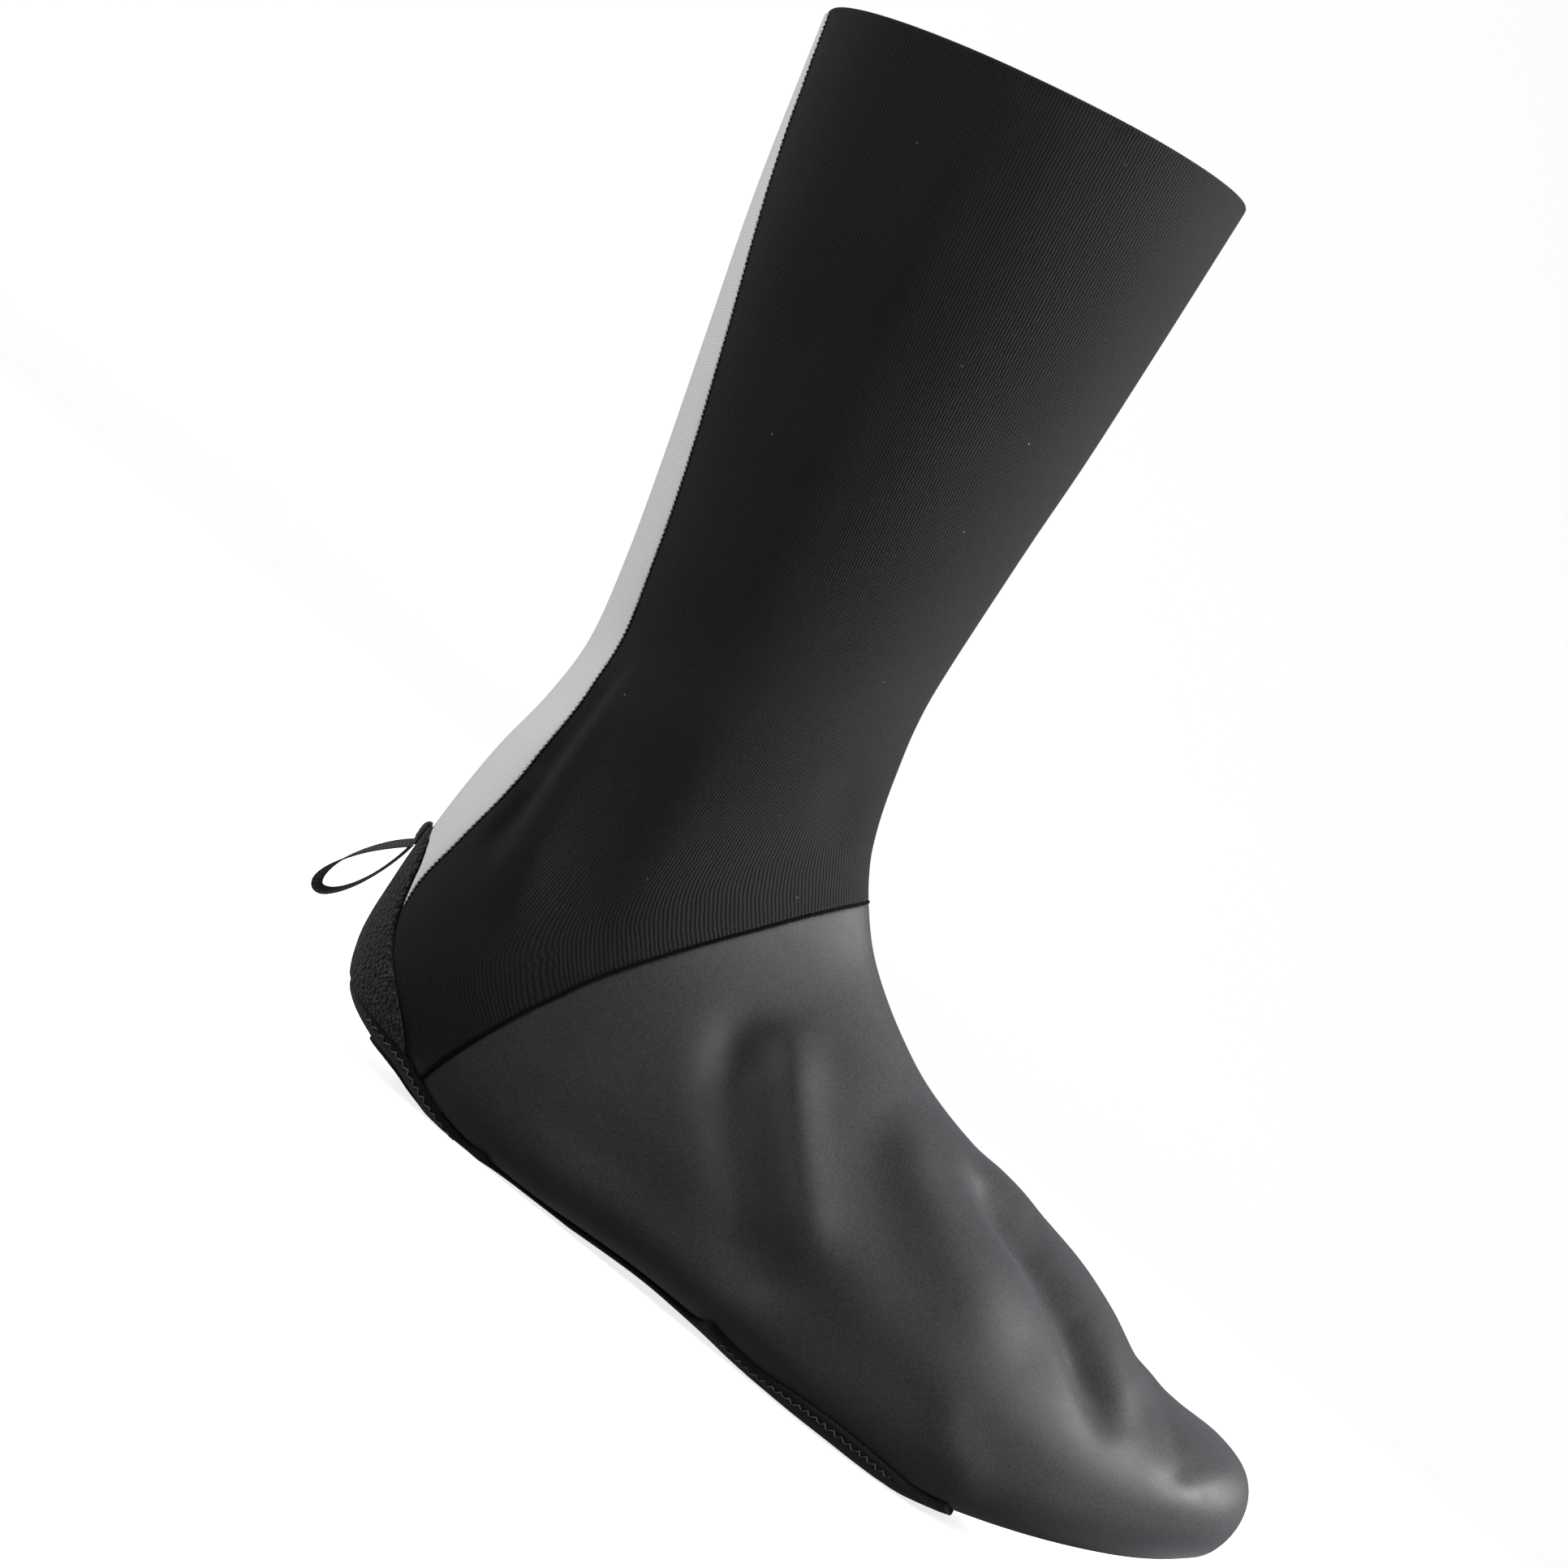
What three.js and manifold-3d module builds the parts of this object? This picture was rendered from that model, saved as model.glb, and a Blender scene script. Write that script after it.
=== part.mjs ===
// Cycling overshoe, right foot, with a tall knitted shaft over a coated foot panel.
// Millimetres, +Z up, +X towards the toe, +Y towards the inner side of the foot.
// The walls, overlays and sole are cut from one form function of the filled cover.
import * as THREE from 'three';
import { mergeVertices } from 'three/addons/utils/BufferGeometryUtils.js';
import Module from 'manifold-3d';

// Foot sizes
const FOOT_LENGTH = 294; // heel back to toe tip
const BALL_WIDTH = 106;
const INSTEP_HEIGHT = 110; // top of the instep in front of the shin
const TOE_SPRING = 28; // rise of the toe's underside just behind the tip
const ARCH_HEIGHT = 7; // lift of the sole's inner edge at the waist
const HEEL_WIDTH = 74;
const HEEL_HEIGHT = 66; // floor to the place where the heel's back is steepest

// Shaft sizes
const ANKLE_DEPTH = 84;
const ANKLE_WIDTH = 74;
const COLLAR_DEPTH = 124;
const COLLAR_WIDTH = 102;
const COLLAR_HEIGHT = 333; // front edge of the collar over the floor
const COLLAR_DROP = 28; // the collar's back edge is this much lower than its front
const SHAFT_LEAN = 53; // the collar's back edge stands this far behind the heel

// Material thicknesses and clearances
const FOOT_WALL = 1.5;
const SHAFT_WALL = 1.3;
const SOLE_THICKNESS = 1.6;
const PATCH_THICKNESS = 1.4;
const STRIPE_THICKNESS = 0.4;
const SEAT_GAP = 0.3; // between an overlay and what it lies on
const SEAM_GAP = 0.3; // between the foot panel and the shaft

// Sole panel
const SOLE_WRAP = 8.6; // height of its turned-up edge at the ball
const CLEAT_LENGTH = 44;
const CLEAT_WIDTH = 38;
const CLEAT_PLACE = 0.64; // middle of the cleat opening from the heel back, in foot lengths
const HEEL_PORT_LENGTH = 26;
const HEEL_PORT_WIDTH = 32;
const HEEL_PORT_PLACE = 0.13; // middle of the heel opening, in foot lengths
const PORT_CORNER = 11; // corner radius of both openings
const RIM_WIDTH = 2.6; // folded edge round both openings
const RIM_THICKNESS = 0.8; // how far that edge stands up inside
const LAP_INSET = 4; // how much further the upper's lower edge reaches in than the sole's outline

// Pull loop
const LOOP_LENGTH = 29; // root to tip
const LOOP_HEIGHT = 7.6; // between the middles of its two strands
const TAPE_WIDTH = 8;
const TAPE_THICKNESS = 0.9;
const LOOP_DROOP = 62; // degrees below level
const LOOP_TWIST = 5; // degrees about its own length
const TAB_THICKNESS = 1; // rolled end of the tape at the loop's root
const TAB_LENGTH = 7.5; // along the heel's back
const LOOP_STATION = 18.56; // place of the loop's root on the heel's back
const LOOP_ROOT_ANGLE = 0.2; // radians of the loop's outline left out inside the tab
const LOOP_SWELL = 0.8; // how bluntly the two strands part at the root
const LOOP_WIDEST_ANGLE = 1.8; // radians along that outline to its widest place

// Rows of numbers as objects with the named columns.
function table(columns, rows) {
  const names = columns.split(' ');
  return rows.map((row) => Object.fromEntries(names.map((name, i) => [name, row[i]])));
}

// Sections of the foot, from the toe tip back to the waist.
// x in foot lengths, low in toe springs, high in instep heights, width and swing in ball widths,
// widest: height of the widest place in the section, flat and dome: squareness below and above,
// pinch: narrowing of the top, arch: lift of the inner edge.
const FOOT = table('x low high width swing widest flat dome pinch arch', [
  [1.0, 1.561, 0.4145, 0.0, 0.075, 0.48, 2.2, 2.0, 0, 0],
  [0.992, 1.218, 0.496, 0.222, 0.074, 0.48, 2.2, 2.0, 0, 0],
  [0.97, 0.996, 0.553, 0.443, 0.07, 0.46, 2.3, 2.1, 0, 0],
  [0.932, 0.746, 0.58, 0.642, 0.062, 0.43, 2.6, 2.1, 0, 0],
  [0.881, 0.5, 0.586, 0.79, 0.05, 0.4, 2.9, 2.1, 0.02, 0],
  [0.82, 0.257, 0.61, 0.905, 0.033, 0.38, 3.1, 2.1, 0.04, 0],
  [0.755, 0.05, 0.668, 0.975, 0.018, 0.37, 3.3, 2.1, 0.06, 0],
  [0.694, -0.08, 0.713, 1.0, 0.002, 0.36, 3.3, 2.1, 0.1, 0.05],
  [0.626, -0.095, 0.754, 0.975, -0.02, 0.35, 3.3, 2.0, 0.14, 0.25],
  [0.558, -0.075, 0.786, 0.905, -0.038, 0.34, 3.3, 2.0, 0.18, 0.65],
]);

// Sections that fan round the ankle, from the waist to the back of the heel.
// lowX in foot lengths, lowZ in heel heights, highX in ankle depths, highZ in instep heights,
// width and swing in heel widths, tuck: narrowing of the back.
const HEEL = table('lowX lowZ highX highZ width swing widest flat dome pinch tuck arch', [
  [0.483, 0.0, 1.774, 0.825, 1.175, -0.062, 0.33, 3.3, 2.0, 0.2, 0, 1],
  [0.412, 0.012, 1.619, 0.88, 1.085, -0.055, 0.32, 3.4, 2.0, 0.22, 0, 1],
  [0.337, -0.004, 1.488, 0.939, 1.03, -0.04, 0.31, 3.5, 2.0, 0.24, 0, 0.65],
  [0.262, -0.03, 1.381, 1.0, 1.005, -0.024, 0.31, 3.5, 2.0, 0.25, 0, 0.2],
  [0.184, -0.026, 1.289, 1.073, 1.0, -0.01, 0.32, 3.3, 2.0, 0.25, 0, 0],
  [0.112, 0.052, 1.214, 1.148, 0.992, 0, 0.35, 3.0, 2.0, 0.24, 0, 0],
  [0.043, 0.172, 1.162, 1.225, 0.986, 0, 0.39, 2.8, 2.0, 0.22, 0, 0],
  [0.0155, 0.362, 1.119, 1.305, 0.99, 0, 0.44, 2.6, 2.0, 0.2, 0.04, 0],
  [0.006, 0.653, 1.082, 1.391, 1.0, 0, 0.48, 2.4, 2.0, 0.18, 0.1, 0],
  [0.002, 1.0, 1.048, 1.482, 1.005, 0, 0.5, 2.3, 2.0, 0.16, 0.18, 0],
  [0.0035, 1.335, 1.024, 1.573, 1.005, 0, 0.5, 2.2, 2.0, 0.15, 0.22, 0],
]);

// Sections of the shaft, from the ankle up to the collar.
// lean in shaft leans behind the heel, back and front in the heights of the collar's two edges,
// flare: 0 is the ankle's depth and width, 1 the collar's.
const SHAFT = table('lean back front flare widest flat dome pinch tuck', [
  [-0.058, 0.361, 0.553, -0.06, 0.5, 2.15, 2.05, 0.14, 0.22],
  [-0.048, 0.426, 0.589, -0.075, 0.5, 2.1, 2.05, 0.13, 0.2],
  [0.068, 0.505, 0.629, 0.05, 0.5, 2.1, 2.1, 0.12, 0.15],
  [0.234, 0.593, 0.68, 0.235, 0.5, 2.1, 2.1, 0.1, 0.1],
  [0.453, 0.703, 0.757, 0.48, 0.5, 2.1, 2.1, 0.08, 0.05],
  [0.717, 0.836, 0.862, 0.745, 0.5, 2.1, 2.1, 0.06, 0.02],
  [1.0, 1.0, 1.0, 1.0, 0.5, 2.1, 2.1, 0.05, 0],
]);

const FLOOR_OFFSET = SEAT_GAP + SOLE_THICKNESS; // the upper's own surface over the floor
const COLLAR_BACK = COLLAR_HEIGHT - COLLAR_DROP;
const COLLAR_STATION = FOOT.length + HEEL.length + SHAFT.length - 1;
const PAST_COLLAR = COLLAR_STATION + 0.3; // end of the inner form, so that the collar is open

// Rings of the form: close together at the toe tip, then even up to the collar
const RING_FACES = 32;
const TOE_RINGS = [0.3, 0.65, 1, 1.4, 1.8, 2.3, 2.8, 3.3, 3.9];
const EVEN_FROM = 4.5;
const EVEN_STEPS = 34;

// Lift of the arch: from this share of the half width on the outer side, over this span
const ARCH_FROM = -0.5;
const ARCH_SPAN = 1.4;

const mix = (a, b, t) => a + (b - a) * t;
const clamp01 = (t) => Math.min(1, Math.max(0, t));
const smooth = (t) => clamp01(t) ** 2 * (3 - 2 * clamp01(t));

// One row as lengths: the ends of the section's chord in the XZ plane, its half width and its shape.
function section(row, lowX, lowZ, highX, highZ, width, swing) {
  return {
    midX: (lowX + highX) / 2,
    midZ: (lowZ + highZ) / 2,
    halfX: (highX - lowX) / 2,
    halfZ: (highZ - lowZ) / 2,
    halfWidth: width / 2,
    swing,
    tuck: row.tuck ?? 0,
    arch: (row.arch ?? 0) * ARCH_HEIGHT,
    widest: row.widest,
    flat: row.flat,
    dome: row.dome,
    pinch: row.pinch,
  };
}

function footSection(row) {
  const x = row.x * FOOT_LENGTH;
  const swing = row.swing * BALL_WIDTH;
  const low = FLOOR_OFFSET + row.low * TOE_SPRING;
  return section(row, x, low, x, row.high * INSTEP_HEIGHT, row.width * BALL_WIDTH, swing);
}

function heelSection(row) {
  const swing = row.swing * HEEL_WIDTH;
  const low = FLOOR_OFFSET + row.lowZ * HEEL_HEIGHT;
  return section(row, row.lowX * FOOT_LENGTH, low, row.highX * ANKLE_DEPTH,
    row.highZ * INSTEP_HEIGHT, row.width * HEEL_WIDTH, swing);
}

function shaftSection(row) {
  const backX = -row.lean * SHAFT_LEAN;
  const depth = mix(ANKLE_DEPTH, COLLAR_DEPTH, row.flare);
  const width = mix(ANKLE_WIDTH, COLLAR_WIDTH, row.flare);
  return section(row, backX, row.back * COLLAR_BACK, backX + depth, row.front * COLLAR_HEIGHT, width, 0);
}

const SECTIONS = [...FOOT.map(footSection), ...HEEL.map(heelSection), ...SHAFT.map(shaftSection)];

// A section past the toe tip is the mirror of the one before it, and the shaft goes on straight
// past its collar.
function sectionAt(index) {
  const last = SECTIONS.length - 1;
  const result = {};
  for (const key of Object.keys(SECTIONS[0])) {
    if (index < 0) {
      const flips = key === 'halfX' || key === 'halfZ' || key === 'halfWidth';
      result[key] = (flips ? -1 : 1) * SECTIONS[-index][key];
    } else if (index > last) {
      const beyond = index - last;
      result[key] = SECTIONS[last][key] + beyond * (SECTIONS[last][key] - SECTIONS[last - 1][key]);
    } else {
      result[key] = SECTIONS[index][key];
    }
  }
  return result;
}

// The section at any station, on a smooth curve through the rows.
function blendedSection(station) {
  const base = Math.floor(station);
  const t = station - base;
  const rows = [-1, 0, 1, 2].map((step) => sectionAt(base + step));
  const weights = [
    (-t + 2 * t ** 2 - t ** 3) / 2,
    (2 - 5 * t ** 2 + 3 * t ** 3) / 2,
    (t + 4 * t ** 2 - 3 * t ** 3) / 2,
    (-(t ** 2) + t ** 3) / 2,
  ];
  const result = {};
  for (const key of Object.keys(rows[0])) {
    result[key] = rows.reduce((sum, row, i) => sum + row[key] * weights[i], 0);
  }
  return result;
}

// A point of the filled cover. turn goes from 0 under the foot or at the back of the leg, by the
// outer side, to 0.5 on top or in front, and back to 1 by the inner side.
function surfacePoint(station, turn) {
  const s = blendedSection(station);
  const wrapped = turn - Math.floor(turn);
  const side = wrapped <= 0.5 ? -1 : 1;
  const t = wrapped <= 0.5 ? 4 * wrapped : 4 * (1 - wrapped);
  const low = t <= 1;
  const square = low ? s.flat : s.dome;
  const angle = (Math.PI / 2) * (low ? t : 2 - t) ** (square / 2);
  const reach = Math.cos(angle) ** (2 / square);
  const height = low ? s.widest * (1 - reach) : s.widest + (1 - s.widest) * reach;
  const taper = low ? 1 - s.tuck * reach ** 2 : 1 - s.pinch * reach ** 2;
  const y = side * s.halfWidth * Math.sin(angle) ** (2 / square) * taper;
  const inner = s.halfWidth === 0 ? 0 : y / Math.abs(s.halfWidth);
  const lift = s.arch * smooth((inner - ARCH_FROM) / ARCH_SPAN) * (1 - height) ** 2;
  const x = s.midX + s.halfX * (2 * height - 1);
  const z = s.midZ + s.halfZ * (2 * height - 1) + lift;
  return new THREE.Vector3(x, s.swing + y, z);
}

function surfaceNormal(station, turn) {
  const step = 0.01; // in stations and turns, on both sides
  if (station < step) {
    return new THREE.Vector3(1, 0, 0);
  }
  const along = surfacePoint(station + step, turn).sub(surfacePoint(station - step, turn));
  const around = surfacePoint(station, turn + step).sub(surfacePoint(station, turn - step));
  return around.cross(along).normalize();
}

// The surface moved out by offset, with the part under the foot flat where it meets the floor.
function offsetPoint(station, turn, offset) {
  const point = surfacePoint(station, turn);
  point.addScaledVector(surfaceNormal(station, turn), offset);
  point.z = Math.max(point.z, FLOOR_OFFSET - offset);
  return point;
}

// Stations of the rings.
function ringStations(lastStation) {
  const stations = [...TOE_RINGS];
  for (let i = 0; i <= EVEN_STEPS; i += 1) {
    stations.push(mix(EVEN_FROM, COLLAR_STATION, i / EVEN_STEPS));
  }
  if (lastStation > COLLAR_STATION) {
    stations.push(lastStation);
  }
  return stations;
}

const wasm = await Module();
wasm.setup();

function solidFromGeometry(geometry) {
  geometry.deleteAttribute('normal');
  geometry.deleteAttribute('uv');
  const merged = mergeVertices(geometry, 1e-5);
  const mesh = new wasm.Mesh({
    numProp: 3,
    vertProperties: new Float32Array(merged.attributes.position.array),
    triVerts: new Uint32Array(merged.index.array),
  });
  return new wasm.Manifold(mesh);
}

function geometryFromSolid(solid) {
  const mesh = solid.getMesh();
  const geometry = new THREE.BufferGeometry();
  geometry.setAttribute('position', new THREE.BufferAttribute(mesh.vertProperties, 3));
  geometry.setIndex(new THREE.BufferAttribute(mesh.triVerts, 1));
  geometry.computeVertexNormals();
  return geometry;
}

// The filled cover as a closed solid, moved out or in by offset. All such forms share their
// stations and turns, so they are parallel facet by facet.
function form(offset, lastStation = COLLAR_STATION) {
  const tip = offsetPoint(0, 0, offset);
  const positions = [tip.x, tip.y, tip.z];
  const faces = [];
  const stations = ringStations(lastStation);
  for (const station of stations) {
    for (let i = 0; i < RING_FACES; i += 1) {
      const point = offsetPoint(station, i / RING_FACES, offset);
      positions.push(point.x, point.y, point.z);
    }
  }
  const at = (ring, i) => 1 + ring * RING_FACES + (i % RING_FACES);
  const top = stations.length - 1;
  const cap = blendedSection(stations[top]);
  const centre = positions.length / 3;
  positions.push(cap.midX, cap.swing, cap.midZ);
  for (let i = 0; i < RING_FACES; i += 1) {
    faces.push(0, at(0, i + 1), at(0, i));
    for (let ring = 0; ring < top; ring += 1) {
      faces.push(at(ring, i), at(ring, i + 1), at(ring + 1, i));
      faces.push(at(ring, i + 1), at(ring + 1, i + 1), at(ring + 1, i));
    }
    faces.push(centre, at(top, i), at(top, i + 1));
  }
  const geometry = new THREE.BufferGeometry();
  geometry.setAttribute('position', new THREE.Float32BufferAttribute(positions, 3));
  geometry.setIndex(faces);
  return solidFromGeometry(geometry);
}

// A skin that lies SEAT_GAP over the upper.
function skin(thickness) {
  return form(SEAT_GAP + thickness).subtract(form(SEAT_GAP));
}

// A prism along Y whose outline is given as [x, z] pairs.
function sidePrism(outline, depth = 2 * BALL_WIDTH) {
  const shape = new THREE.Shape(outline.map(([x, z]) => new THREE.Vector2(x, z)));
  const geometry = new THREE.ExtrudeGeometry(shape, { depth, bevelEnabled: false });
  geometry.rotateX(Math.PI / 2);
  geometry.translate(0, depth / 2, 0);
  return solidFromGeometry(geometry);
}

// An upright prism whose outline is given as [x, y] pairs.
function uprightPrism(outline, low, high) {
  const shape = new THREE.Shape(outline.map(([x, y]) => new THREE.Vector2(x, y)));
  const geometry = new THREE.ExtrudeGeometry(shape, { depth: high - low, bevelEnabled: false });
  geometry.translate(0, 0, low);
  return solidFromGeometry(geometry);
}

function smoothLine(points, steps) {
  const curve = new THREE.CatmullRomCurve3(points, false, 'centripetal');
  return curve.getPoints(steps);
}

// Side view of a smooth line through rows of station and turn, as [x, z] pairs.
function sideLine(rows, steps) {
  const points = rows.map(({ station, turn, out }) => offsetPoint(station, turn, out).setY(0));
  return smoothLine(points, steps).map((p) => [p.x, p.z]);
}

// Each point of a line of pairs moved by distance to the line's left.
function shiftLine(line, distance) {
  return line.map(([x, z], i) => {
    const [fromX, fromZ] = line[Math.max(i - 1, 0)];
    const [toX, toZ] = line[Math.min(i + 1, line.length - 1)];
    const length = Math.hypot(toX - fromX, toZ - fromZ);
    return [x - (distance * (toZ - fromZ)) / length, z + (distance * (toX - fromX)) / length];
  });
}

const FAR = 2 * COLLAR_HEIGHT; // past the whole cover, for the ends of cutting bodies
const UNDER = -20; // below the floor

// Seam between the foot panel and the shaft, from under the sole to the front of the ankle.
const SEAM = table('station turn out', [
  [14.6, 0, 24],
  [14.66, 0.06, 0],
  [14.73, 0.131, 0],
  [14.98, 0.224, 0],
  [15.11, 0.266, 0],
  [15.0, 0.316, 0],
  [14.72, 0.373, 0],
  [14.21, 0.483, 0],
  [14.15, 0.5, 30],
]);

function shaftSide(shift) {
  const seam = shiftLine(sideLine(SEAM, 40), shift);
  return sidePrism([...seam, [FAR, FAR], [-FAR, FAR], [-FAR, seam[0][1]]]);
}

// The sole from its front edge to the back of the heel. wrap: height of its turned-up edge in sole
// wraps, outer and inner: half widths in half widths of the cover. Above 1 the turned-up edge alone
// bounds the sole, and at the waist the outline underneath does.
const SOLE = table('station wrap outer inner', [
  [5.72, 0.5, 0.2, 0.2],
  [5.78, 0.5, 0.42, 0.42],
  [5.92, 0.5, 0.66, 0.66],
  [6.15, 0.45, 0.86, 0.86],
  [6.5, 0.5, 1.02, 1.02],
  [7.2, 0.76, 1.2, 1.2],
  [7.8, 0.8, 1.2, 1.2],
  [8.6, 0.64, 1.2, 1.2],
  [9.3, 0.32, 1.2, 1.2],
  [9.85, 0.25, 1.1, 1.0],
  [10.1, 0.35, 0.66, 0.62],
  [10.5, 0.6, 0.52, 0.48],
  [11.5, 0.9, 0.46, 0.42],
  [12.6, 0.9, 0.48, 0.46],
  [13.3, 0.5, 0.6, 0.6],
  [13.7, 0.3, 0.85, 0.85],
  [14.1, 0.36, 1.2, 1.2],
  [14.6, 0.48, 1.2, 1.2],
  [15.0, 0.57, 1.2, 1.2],
  [15.5, 0.45, 1.2, 1.2],
  [16.0, 0.2, 1.2, 1.2],
  [16.35, 0.0, 1.2, 1.2],
]);

// Outline seen from below, with each half width held under a share of the cover's and then inset.
function planOutline(rows, mostShare, inset) {
  const edge = (sign, key) => rows.map((row) => {
    const cover = blendedSection(row.station);
    const half = Math.min(row[key], mostShare) * cover.halfWidth - inset;
    return new THREE.Vector3(offsetPoint(row.station, 0, 0).x, cover.swing + sign * half, 0);
  });
  const outer = smoothLine(edge(-1, 'outer'), 56);
  const inner = smoothLine(edge(1, 'inner'), 56).reverse();
  return [...outer, ...inner].map((p) => [p.x, p.y]);
}

// Everything below the sole's edge on one side, where side is -1 for the outer and 1 for the inner.
function belowEdge(side, raise) {
  const line = SOLE.map(({ station, wrap }) => {
    const point = offsetPoint(station, 0, 0);
    const lift = side > 0 ? blendedSection(station).arch : 0;
    return point.setZ(point.z + wrap * SOLE_WRAP + lift + raise);
  });
  const edge = smoothLine(line, 64).map((p) => [p.x, p.z]);
  const [frontX] = edge[0];
  const backZ = edge[edge.length - 1][1];
  const prism = sidePrism([...edge, [-FAR, backZ], [-FAR, UNDER], [frontX, UNDER]], 2 * BALL_WIDTH);
  return prism.translate([0, side * BALL_WIDTH, 0]);
}

// Room of the sole, which can be raised to leave room for a neighbour.
function soleRegion(raise = 0) {
  const below = belowEdge(-1, raise).add(belowEdge(1, raise));
  return below.intersect(uprightPrism(planOutline(SOLE, FAR, 0), UNDER, FAR));
}

// The upper is open over the sole, and its lower edge laps inside the sole's edge.
const LAP_MOST_SHARE = 0.76;
const LAP_FRONT = 6.0; // stations between which the upper is open below
const LAP_BACK = 15.6;
const LAP_TOP = 15; // above the bottom wall and far below the top one

function openingRegion(extraInset = 0) {
  const rows = SOLE.filter(({ station }) => station > LAP_FRONT && station < LAP_BACK);
  return uprightPrism(planOutline(rows, LAP_MOST_SHARE, LAP_INSET + extraInset), UNDER, LAP_TOP);
}

// A rounded rectangle seen from below, lengthwise along X.
function roundedRectangle(centreX, length, width, radius) {
  const segments = 5;
  const points = [];
  [[1, 1], [-1, 1], [-1, -1], [1, -1]].forEach(([sx, sy], quarter) => {
    for (let i = 0; i <= segments; i += 1) {
      const angle = (Math.PI / 2) * (quarter + i / segments);
      const x = centreX + sx * (length / 2 - radius) + radius * Math.cos(angle);
      const y = sy * (width / 2 - radius) + radius * Math.sin(angle);
      points.push([x, y]);
    }
  });
  return points;
}

const PORTS = [
  { place: CLEAT_PLACE * FOOT_LENGTH, length: CLEAT_LENGTH, width: CLEAT_WIDTH },
  { place: HEEL_PORT_PLACE * FOOT_LENGTH, length: HEEL_PORT_LENGTH, width: HEEL_PORT_WIDTH },
];

function portPrism({ place, length, width }, grow) {
  const outline = roundedRectangle(place, length + 2 * grow, width + 2 * grow, PORT_CORNER + grow);
  return uprightPrism(outline, UNDER, LAP_TOP + RIM_THICKNESS);
}

function upperWall(thickness) {
  return form(0).subtract(form(-thickness, PAST_COLLAR)).subtract(openingRegion());
}

const footPanel = () => upperWall(FOOT_WALL).subtract(shaftSide(-SEAM_GAP / 2));
const shaftPanel = () => upperWall(SHAFT_WALL).intersect(shaftSide(SEAM_GAP / 2));

// Stretch panel under the foot, with a folded rim round the cleat and heel openings.
function solePanel() {
  let panel = skin(SOLE_THICKNESS).intersect(soleRegion());
  const overlap = SOLE_THICKNESS / 2;
  const raised = form(SEAT_GAP + overlap).subtract(form(SEAT_GAP - RIM_THICKNESS));
  for (const port of PORTS) {
    const rim = raised.intersect(portPrism(port, RIM_WIDTH)).intersect(openingRegion(SEAT_GAP));
    panel = panel.add(rim).subtract(portPrism(port, 0));
  }
  return panel;
}

// Front edge of the heel patch, from its top at the back of the heel down to the sole's edge.
const PATCH = table('station turn out', [
  [18.72, 0, 4],
  [18.72, 0.03, 0],
  [18.55, 0.056, 0],
  [18.26, 0.08, 0],
  [17.85, 0.095, 0],
  [17.34, 0.113, 0],
  [16.7, 0.134, 0],
  [15.93, 0.151, 0],
  [15.17, 0.122, 0],
  [14.9, 0.05, 0],
]);

function patchRegion(grow = 0) {
  const edge = shiftLine(sideLine(PATCH, 36), grow);
  const low = edge[edge.length - 1];
  return sidePrism([...edge, [low[0], UNDER], [-FAR, UNDER], [-FAR, edge[0][1]]]);
}

function heelPatch() {
  return skin(PATCH_THICKNESS).intersect(patchRegion()).subtract(soleRegion(SEAT_GAP));
}

// Front edge of the reflective stripe, from a point beside the heel patch up to the collar.
const STRIPE = table('station turn out', [
  [17.02, 0.126, 0],
  [17.5, 0.114, 0],
  [17.9, 0.109, 0],
  [18.4, 0.121, 0],
  [18.87, 0.131, 0],
  [20, 0.129, 0],
  [21.4, 0.111, 0],
  [22.45, 0.102, 0],
  [24, 0.092, 0],
  [25.6, 0.069, 0],
  [26.4, 0.048, 0],
  [26.97, 0.034, 0],
  [26.97, 0, 12],
]);

function backStripe() {
  const edge = sideLine(STRIPE, 60);
  const low = edge[0];
  const high = edge[edge.length - 1];
  const region = sidePrism([[-FAR, low[1]], ...edge, [-FAR, high[1]]]);
  return skin(STRIPE_THICKNESS).intersect(region).subtract(patchRegion(SEAT_GAP));
}

// Centre line of the pull loop in its own plane: x towards its tip, y away from the heel.
function loopLine(steps) {
  const bulge = (angle) => Math.sin(angle) * Math.sin(angle / 2) ** LOOP_SWELL;
  const half = LOOP_HEIGHT / 2 / bulge(LOOP_WIDEST_ANGLE);
  const points = [];
  for (let i = 0; i <= steps; i += 1) {
    const angle = mix(LOOP_ROOT_ANGLE, 2 * Math.PI - LOOP_ROOT_ANGLE, i / steps);
    const along = (LOOP_LENGTH / 2) * (1 - Math.cos(angle));
    points.push([along, half * bulge(angle)]);
  }
  return points;
}

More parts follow.
